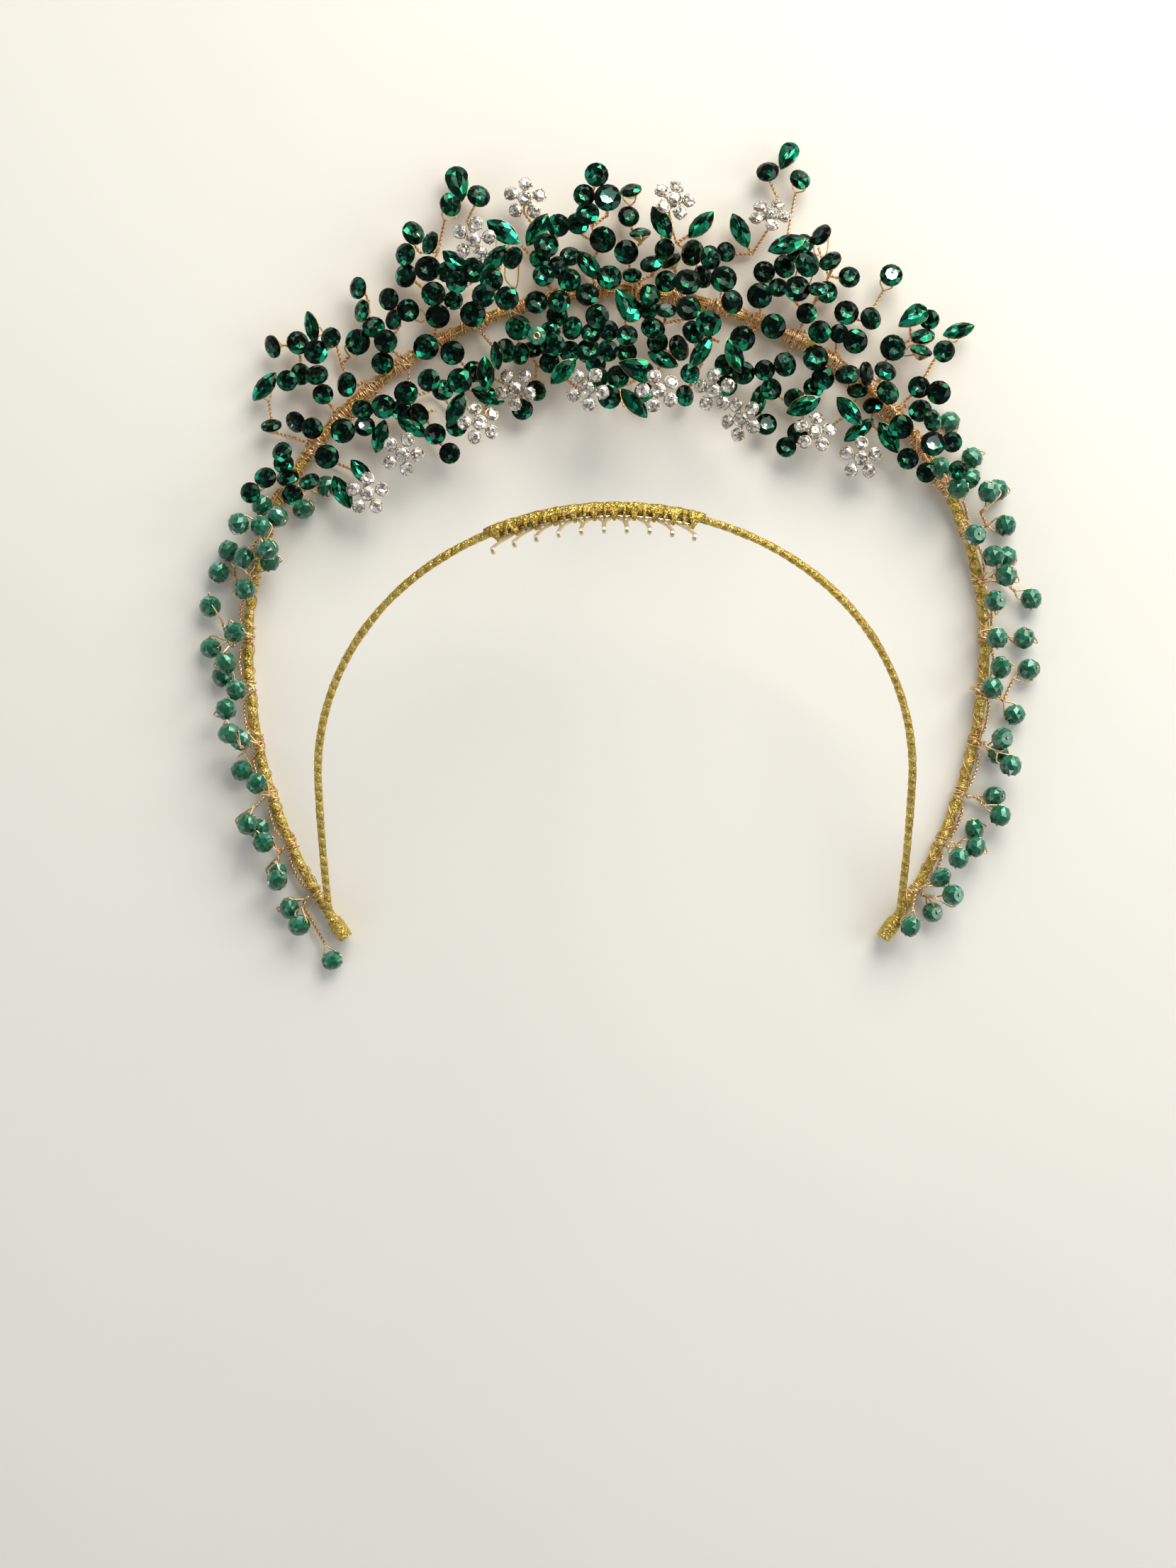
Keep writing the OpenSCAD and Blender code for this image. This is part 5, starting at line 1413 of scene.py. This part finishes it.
def add_lashing(wires, h):
    """The turns of wire that hold one lashing's twigs, with loose strands that stray over them."""
    half = LASH_L / 2 - COIL_WIRE_R
    inner = BAND_R + 0.34
    if h < SPRAYS:
        add_coil(wires, h, -half, half, inner, 0.62)
        add_coil(wires, h, half * 0.9, -half * 0.8, inner + 0.3, 1.1)
        add_coil(wires, h, -half * dice.uniform(0.3, 1), half * dice.uniform(0.3, 1), inner + 0.4, 1.9)
        add_coil(wires, h, half * 1.5, -half * 1.5, inner + 0.15, 3.1)
        for _ in range(4):
            add_stray(wires, h, half, inner + 0.55)
    else:
        add_coil(wires, h, -half * 0.8, half * 0.3, inner - 0.06, 1.1, 0.16)
        add_coil(wires, h, half, -half * 0.6, inner + 0.16, 2.2, 0.16)
    for side in (-1, 0, 1):
        if any(f.side == side for f in FEET[h]):
            ball(wires, knob(h, side) - (0, 0, 0.1 if side == 0 else 0), 0.62)


def add_twigs(h, name):
    """Everything that one lashing holds, but for the flowers."""
    if h < SPRAYS:
        stones = Piece(name + "_stones", "emerald_stone", EMERALD)
    else:
        stones = Piece(name + "_beads", "jade_bead", JADE)
    beads = Piece(name + "_beads", "jade_bead", JADE) if h < SPRAYS else stones
    cups = Piece(name + "_backs", "gilt_setting", GILT)
    wires = Piece(name + "_wire", "copper_wire", COPPER, smooth=True)
    add_lashing(wires, h)
    for foot in FEET[h]:
        start = foot.parent.place if foot.parent else knob(h, foot.side)
        add_stem(wires, foot, start)
        item = foot.item
        if item is None or item.flower:
            continue
        if item.bead:
            add_bead(beads, item)
        elif item.kind == "ring":
            add_ring_bead(beads, cups, item)
        else:
            add_stone(stones, cups, item)
    for piece in [stones, cups, wires] + ([beads] if h < SPRAYS else []):
        piece.build([name])


# Hoops

def ridges(run, angle, pitch, depth):
    """Height of the tape's edge, which winds along the hoop and drops off at each turn."""
    u = (run / pitch + angle / (2 * math.pi)) % 1.0
    return depth * np.where(u < 0.86, u / 0.86, (1 - u) / 0.14)


def wound_hoop(name, path, radius, pitch, depth, seed, replaced):
    """A hoop of core wire under wound glitter tape."""
    sides, step = 28, 0.36
    path = resampled(path, step)
    run = np.arange(len(path)) * step
    angle = circle(sides)
    r = radius + ridges(run[:, None], angle[None, :], pitch, depth) - depth * 0.5
    r = r + lumps(run, seed, 2.3, 0.06)[:, None] + lumps(run, seed + 1, 7.5, 0.05)[:, None]
    r = r + lumps(run, seed + 2, 0.9, 0.03)[:, None] * np.cos(angle * 3 + run[:, None] * 2.1)
    hoop = Piece(name, "braid_gold", BRAID, smooth=True)
    # Painted shade along the winding: lighter on each turn's raised edge, darker where the tape drops under
    # the next turn
    shade = 0.5 + 0.5 * (ridges(run[:-1, None], angle[None, :], pitch, 1) - 0.5).ravel()
    sweep(hoop, path, r, sides, np.concatenate([shade, np.full(2 * sides, 0.5)]))
    hoop.build(replaced)


def headband_point(side, s):
    """Point on the headband at a distance from its top."""
    x, y, _ = along(HEADBAND_SIDE, s)
    v = HEADBAND_TOP + y
    return flat(HEADBAND_PLACE[0] + side * x, HEADBAND_PLACE[1] + v * cosd(HEADBAND_TILT),
                HEADBAND_PLACE[2] + v * sind(HEADBAND_TILT))


LEFT_END_S, RIGHT_END_S = -chain_length(HALO_LEFT), chain_length(HALO_RIGHT)


def halo_end(side):
    return band_place(LEFT_END_S if side < 0 else RIGHT_END_S)


def halo_path():
    return np.array([band_place(s) for s in np.arange(LEFT_END_S, RIGHT_END_S + 0.5, 1.0)])


def headband_path():
    """The headband from its left end over the top to its right end, down onto the halo's ends."""
    full = chain_length(HEADBAND_SIDE)
    stations = np.arange(0, full + 0.5, 1.0)
    left = [headband_point(-1, s) for s in stations[::-1]]
    right = [headband_point(1, s) for s in stations[1:]]
    lift = np.array([0, 0, STACK_H])
    return np.array([halo_end(-1) + lift] + left + right + [halo_end(1) + lift])


# How far the sprays run down the band from its top, on each side
SPRAYS_END = 0.5 * SPRAYS * SPRAY_STEP


def add_open_winding(wires):
    """Two wires wound openly along the whole band, closer between the sprays."""
    stations = np.arange(LEFT_END_S + 6, RIGHT_END_S - 6, 0.5)
    turned = np.cumsum(180 / np.where(np.abs(stations) < SPRAYS_END, 3.4, 9.0))
    for way, start, r in ((1, 0, BAND_R + 0.3), (-0.72, 137, BAND_R + 0.34)):
        path = [by_band(s, way * a + start, r) for s, a in zip(stations, turned)]
        sweep(wires, smooth_path(path, 2), 0.13, 5, 0.3)


def add_laid_ends(wires):
    """Ends of twigs laid along the band from spray to spray."""
    run = np.arange(0, 2 * SPRAYS_END, 1.0)
    for lane in range(4):
        angle = 45 + 30 * lane + lumps(run, 31 + lane, 9.0, 24)
        r = BAND_R + 0.14 + lumps(run, 41 + lane, 5.0, 0.06)
        path = [by_band(s - SPRAYS_END, a, q) for s, a, q in zip(run, angle, r)]
        sweep(wires, smooth_path(path, 2), 0.17, 5, dice.uniform(0.2, 0.8))


def add_side_strands(wires):
    """A twisted strand down each side, from one bead twig to the next."""
    for side in (-1, 1):
        for i in range(TWIGS):
            a = side * (TWIG_FIRST + (i - 1) * TWIG_STEP + 2.5)
            b = side * (TWIG_FIRST + i * TWIG_STEP - 2.5)
            path = [by_band(a + (b - a) * u, 14 + dice.uniform(-7, 7),
                            BAND_R + 0.5 + 0.5 * math.sin(u * math.pi) + dice.uniform(-0.1, 0.1))
                    for u in np.linspace(0, 1, 9)]
            twisted(wires, smooth_path(path, 4))


def add_band_wires():
    wires = Piece("binding_wire", "copper_wire", COPPER, smooth=True)
    add_open_winding(wires)
    add_laid_ends(wires)
    add_side_strands(wires)
    wires.build()


# Points round an end binding, its turns, and how far it runs past the hoops' ends
BINDING_SIDES = 32
BINDING_PITCH = 1.35
BINDING_OVER = 1.2


def stadium(low, high, half):
    """Points of an upright outline with round ends: across, up."""
    angle = circle(BINDING_SIDES)
    up = np.where(np.sin(angle) > 0, high - half, low + half)
    return np.column_stack([half * np.cos(angle), up + half * np.sin(angle)])


def add_end_binding(side, name):
    """Wound tape that holds the headband's end down on the halo's end."""
    tape = Piece(name + "_tape", "braid_gold", BRAID, smooth=True)
    low, high = halo_end(side), headband_point(side, chain_length(HEADBAND_SIDE))
    way = (low - high) * (1, 1, 0)
    way = way / length(way)
    across = np.array([-way[1], way[0], 0])
    wall = LASH_R - BAND_R - BINDING_GAP
    half = HEADBAND_R + BINDING_GAP + wall
    outline = stadium(-BAND_Z, STACK_H + half, half + 0.12)
    angle = circle(BINDING_SIDES)
    stations = np.arange(-BINDING_L + 0.4, BINDING_OVER + 0.01, 0.12)
    points = []
    for a in stations:
        full = (a + BINDING_L) / (BINDING_L + BINDING_OVER)
        taper = 0.86 + 0.14 * math.sin(math.pi * min(1, max(0, full)) ** 0.8)
        u = (a / BINDING_PITCH + angle / (2 * math.pi)) % 1.0
        ring = outline * taper * (0.95 + 0.05 * u[:, None])
        ring[:, 1] = np.maximum(ring[:, 1] + (1 - taper) * STACK_H * 0.5, -BAND_Z)
        points.append(low + a * way + ring[:, :1] * across + ring[:, 1:] * np.array([0, 0, 1.0]))
    points = np.concatenate(points + [[low + stations[0] * way + (0, 0, STACK_H / 2)],
                                      [low + stations[-1] * way + (0, 0, STACK_H / 2)]])
    tape.add(points, tube_faces(len(stations), BINDING_SIDES), 0.5)
    tape.build([name])


# Comb

ARC_R = HEADBAND_SIDE[0][0]
BAR_X = ARC_R - HEADBAND_R - FIT_GAP - COMB_T / 2
PLANE = turned_x(HEADBAND_TILT)
PLANE_PLACE = flat(*HEADBAND_PLACE) + PLANE @ np.array([0, HEADBAND_TOP - ARC_R, 0])


def on_arc(turn, x, y, z):
    """Place by the turn round the headband's top arc: x outward, y along it, z up from its plane."""
    return PLANE_PLACE + PLANE @ (turned_z(turn) @ np.array([x, y, z]))


def bar_section(width, height, bevel):
    """Corners of a bar's section with cut corners: offsets along its two cross directions."""
    w, h = width / 2, height / 2
    return np.array([[w, h - bevel], [w - bevel, h], [bevel - w, h], [-w, h - bevel],
                     [-w, bevel - h], [bevel - w, -h], [w - bevel, -h], [w, bevel - h]])


def add_bar(piece, path, across, widths, heights, shade, bevel=0.14):
    """A bar with cut corners along a path; width lies along the given cross direction."""
    path = np.asarray(path, float)
    _, n, b = frames_across(path, across)
    widths = np.broadcast_to(widths, (len(path),))
    heights = np.broadcast_to(heights, (len(path),))
    points = []
    for place, u, v, width, height in zip(path, n, b, widths, heights):
        section = bar_section(width, height, bevel)
        points.append(place + section[:, :1] * u + section[:, 1:] * v)
    points = np.concatenate(points + [path[:1], path[-1:]])
    piece.add(points, tube_faces(len(path), 8), shade)


def tooth_turn(i):
    return 90 + COMB_TURN + ((TEETH - 1) / 2 - i) * TOOTH_STEP


# How a tooth's leg bends in to join the other: half the gap between them, distance along the tooth
LEG_BENDS = [(1.22, 1.2), (1.0, 4), (0.72, 7.5), (0.42, 10.5), (0.28, 13)]


def add_tooth(comb, i):
    """A stamped tooth: two legs on the bar that join into one, which ends in a curl."""
    turn, lean = tooth_turn(i), turned_y(TOOTH_LEAN)

    def spot(x, y, z):
        q = lean @ np.array([x, y, z])
        return on_arc(turn, BAR_X + q[0], q[1], q[2] + 2.2)
    across = spot(0, 1, 0) - spot(0, 0, 0)
    shade = dice.uniform(0.35, 0.65)
    for side in (-1, 1):
        root = on_arc(turn, BAR_X, side * 1.22, 0.2)
        leg = [root, on_arc(turn, BAR_X, side * 1.25, 1.6)]
        leg += [spot(0, side * y, z) for y, z in LEG_BENDS]
        path = smooth_path(leg, 4)
        add_bar(comb, path, across, np.linspace(0.92, 0.6, len(path)), COMB_T * 0.8, shade)
    curl_r = 0.62
    stem = [(0, z) for z in np.linspace(11.5, TOOTH_L - 3.3, 12)]
    curl = [(-curl_r + curl_r * cosd(a), TOOTH_L - 3 + curl_r * sind(a) * 1.1) for a in range(0, 301, 25)]
    path = [spot(x, 0, z) for x, z in stem + curl]
    widths = np.concatenate([np.linspace(1.2, 1.0, len(stem)), np.linspace(1.0, 0.9, len(curl))])
    heights = np.concatenate([np.full(len(stem), COMB_T * 0.8), np.full(len(curl), 0.55)])
    add_bar(comb, path, across, widths, heights, shade, 0.2)


def add_comb():
    comb = Piece("comb_teeth", "comb_gold", COMB_GOLD)
    half = (TEETH / 2 + 0.1) * TOOTH_STEP
    turns = np.linspace(-half, half, 90)
    path = np.array([on_arc(90 + COMB_TURN + a, BAR_X, 0, 0) for a in turns])
    add_bar(comb, path, PLANE @ np.array([0, 0, 1.0]), BAR_H, COMB_T, 0.5, 0.2)
    for i in range(TEETH):
        add_tooth(comb, i)
    comb.build(["comb"])


# Half the tape's thickness, and half widths of a strip of it round the headband and the bar, from the
# bar's top
TAPE_HALF = 0.2
STRIP_HALVES = [0.55, 1.0, 1.7, 2.1, 2.2, 2.1, 1.7, 1.3, 1.2, 0.9, 0.6, 0.5]


def add_strip(piece, path, widths, turn):
    """A flat strip of tape along a path, lying across the hoop."""
    sides = 12
    angle = circle(sides)
    w = np.asarray(widths)[:, None]
    radius = 1 / np.sqrt((np.cos(angle)[None, :] / w) ** 2 + (np.sin(angle)[None, :] / TAPE_HALF) ** 2)
    radius = radius * (1 + 0.04 * np.sin(np.arange(len(path)) * 1.7)[:, None])
    across = PLANE @ (turned_z(turn) @ np.array([0, 1.0, 0]))
    sweep(piece, path, radius, sides, dice.uniform(0.35, 0.65), frames_across(path, across))


def add_turn(wrap, outline, turn, layer, share):
    """One turn of tape round the headband and the bar, spread over the band and drawn in at the bar."""
    reach = max(x for x, z in outline) - BAR_X
    spread, slant = dice.uniform(-1.2, 1.2), dice.uniform(-0.9, 0.9)
    path, halves = [], []
    for (x, z), half in zip(outline + outline[:1], STRIP_HALVES + STRIP_HALVES[:1]):
        out = max(0.0, (x - BAR_X) / reach)
        y = (spread * out + slant * out * z / reach) * (1.15 if layer else 0.4)
        lift = 1 + layer * 0.02 * out
        path.append(on_arc(turn, BAR_X + (x - BAR_X) * lift, y, z * (1 + 0.015 * layer)))
        halves.append(half * share)
    path = smooth_path(path, 4)
    add_strip(wrap, path, np.interp(np.arange(len(path)) / 4, np.arange(len(halves)), halves), turn)


def add_comb_wrap():
    """Tape over the headband, with narrow turns down between the comb's teeth and their legs."""
    wrap = Piece("comb_wrap_tape", "braid_gold", BRAID, smooth=True)
    top, back = BAR_H / 2 + FIT_GAP + TAPE_HALF, BAR_X - COMB_T / 2 - FIT_GAP - 0.1
    r = HEADBAND_R + FIT_GAP + 0.18
    outline = [(ARC_R + r * cosd(a), r * sind(a)) for a in (80, 50, 25, 0, -25, -50, -80)]
    outline = [(BAR_X, top), *outline, (BAR_X, -top)]
    outline += [(back + 0.1, 0.25 - top), (back, 0), (back + 0.1, top - 0.25)]
    for i in range(-1, TEETH):
        between = tooth_turn(i + 0.5)
        for layer, share in enumerate((0.95, 0.72, 0.55)):
            add_turn(wrap, outline, between, layer, share)
        if i >= 0:
            add_turn(wrap, outline, tooth_turn(i), 0, 0.5)
    for i in range(TEETH - 1):
        for side in (-1, 1):
            turn = tooth_turn(i) + side * 0.35
            arc = [on_arc(turn, ARC_R + (r - 0.02) * cosd(a), side * 0.012 * a, (r - 0.02) * sind(a))
                   for a in range(-85, 86, 17)]
            add_strip(wrap, smooth_path(arc, 2), np.full(21, 1.05), turn)
    wrap.build(["comb_wrap"])


# The whole crown

wound_hoop("halo_band_tape", halo_path(), BAND_R, 3.2, 0.16, 11, ["halo_band"])
wound_hoop("headband_tape", headband_path(), HEADBAND_R - 0.08, 2.6, 0.14, 23, ["headband"])
add_band_wires()
add_end_binding(-1, "end_binding_left")
add_end_binding(1, "end_binding_right")
add_comb()
add_comb_wrap()
for h in range(len(HUBS)):
    add_twigs(h, NAMES[h])
for i, item in enumerate(t for t in ITEMS if t.flower):
    name = "flower_%02d" % (i + 1)
    stones = Piece(name + "_stones", "clear_stone", CLEAR)
    cups = Piece(name + "_cups", "gilt_setting", SILVER, smooth=True)
    add_flower(stones, cups, item)
    stones.build([name])
    cups.build([name])


# Stage: a pale floor under soft light, seen from straight above

FLOOR_HALF = 1.2
FLOOR_Z = -0.0003
floor_mesh = bpy.data.meshes.new("floor")
floor_corners = [(x * FLOOR_HALF, y * FLOOR_HALF, FLOOR_Z) for x, y in ((-1, -1), (1, -1), (1, 1), (-1, 1))]
floor_mesh.from_pydata(floor_corners, [], [(0, 1, 2, 3)])
floor = bpy.data.objects.new("floor", floor_mesh)
paper, tree, shader = new_material("paper")
grain = add_node(tree, "TexNoise", {"Vector": object_place(tree), "Scale": 500.0, "Detail": 4.0})
mottle = add_node(tree, "TexNoise", {"Vector": object_place(tree), "Scale": 9.0, "Detail": 2.0})
tone = ramp(tree, mottle.outputs["Fac"], [(0.3, 0.89, 0.885, 0.85), (0.7, 0.91, 0.905, 0.87)])
ripple = add_node(tree, "Bump", {"Height": grain.outputs["Fac"], "Strength": 0.12, "Distance": 0.0002})
feed(tree, shader, {"Base Color": tone, "Normal": ripple.outputs[0], "Roughness": 0.75})
floor_mesh.materials.append(paper)
bpy.context.scene.collection.objects.link(floor)


def area_light(name, place, toward, size, watts, colour):
    data = bpy.data.lights.new(name, "AREA")
    data.shape, data.size, data.energy, data.color = "SQUARE", size, watts, colour
    light = bpy.data.objects.new(name, data)
    light.location = place
    light.rotation_euler = (Vector(toward) - Vector(place)).to_track_quat("-Z", "Y").to_euler()
    bpy.context.scene.collection.objects.link(light)


# Columns: name, place, what it points at, width in metres, watts, colour
LIGHTS = [
    ["key", (0.3, 0.62, 0.55), (0.02, 0.12, 0), 0.7, 8.2, (1.0, 0.945, 0.835)],
    ["window", (0.95, -0.1, 0.6), (0, 0, 0), 0.6, 3.0, (1.0, 1.0, 1.0)],
    ["low", (-0.8, -0.6, 0.5), (0, 0, 0), 0.6, 1.2, (0.97, 1.0, 1.0)],
]
for light in LIGHTS:
    area_light(*light)

world = bpy.data.worlds.new("studio")
world.use_nodes = True
tree = world.node_tree
sky = add_node(tree, "TexCoord", {}).outputs["Generated"]
height = add_node(tree, "SeparateXYZ", {"Vector": sky}).outputs["Z"]
glow = ramp(tree, height, [
    (0.0, 0.84, 0.84, 0.83), (0.55, 0.69, 0.69, 0.68), (0.8, 0.41, 0.41, 0.41), (1.0, 0.32, 0.32, 0.32),
])
feed(tree, tree.nodes["Background"], {"Color": glow, "Strength": 0.6})
bpy.context.scene.world = world

# Focal length and film size, in millimetres
LENS, FILM = 57.65, 36
camera_data = bpy.data.cameras.new("camera")
camera_data.lens, camera_data.sensor_width = LENS, FILM
camera = bpy.data.objects.new("camera", camera_data)
camera.location = ((VIEW[0] - MIDDLE[0]) * MM, (VIEW[1] - MIDDLE[1]) * MM, VIEW_D * MM)
camera.rotation_euler = (0, 0, 0)
bpy.context.scene.collection.objects.link(camera)
bpy.context.scene.camera = camera
bpy.context.scene.view_settings.view_transform = "Standard"
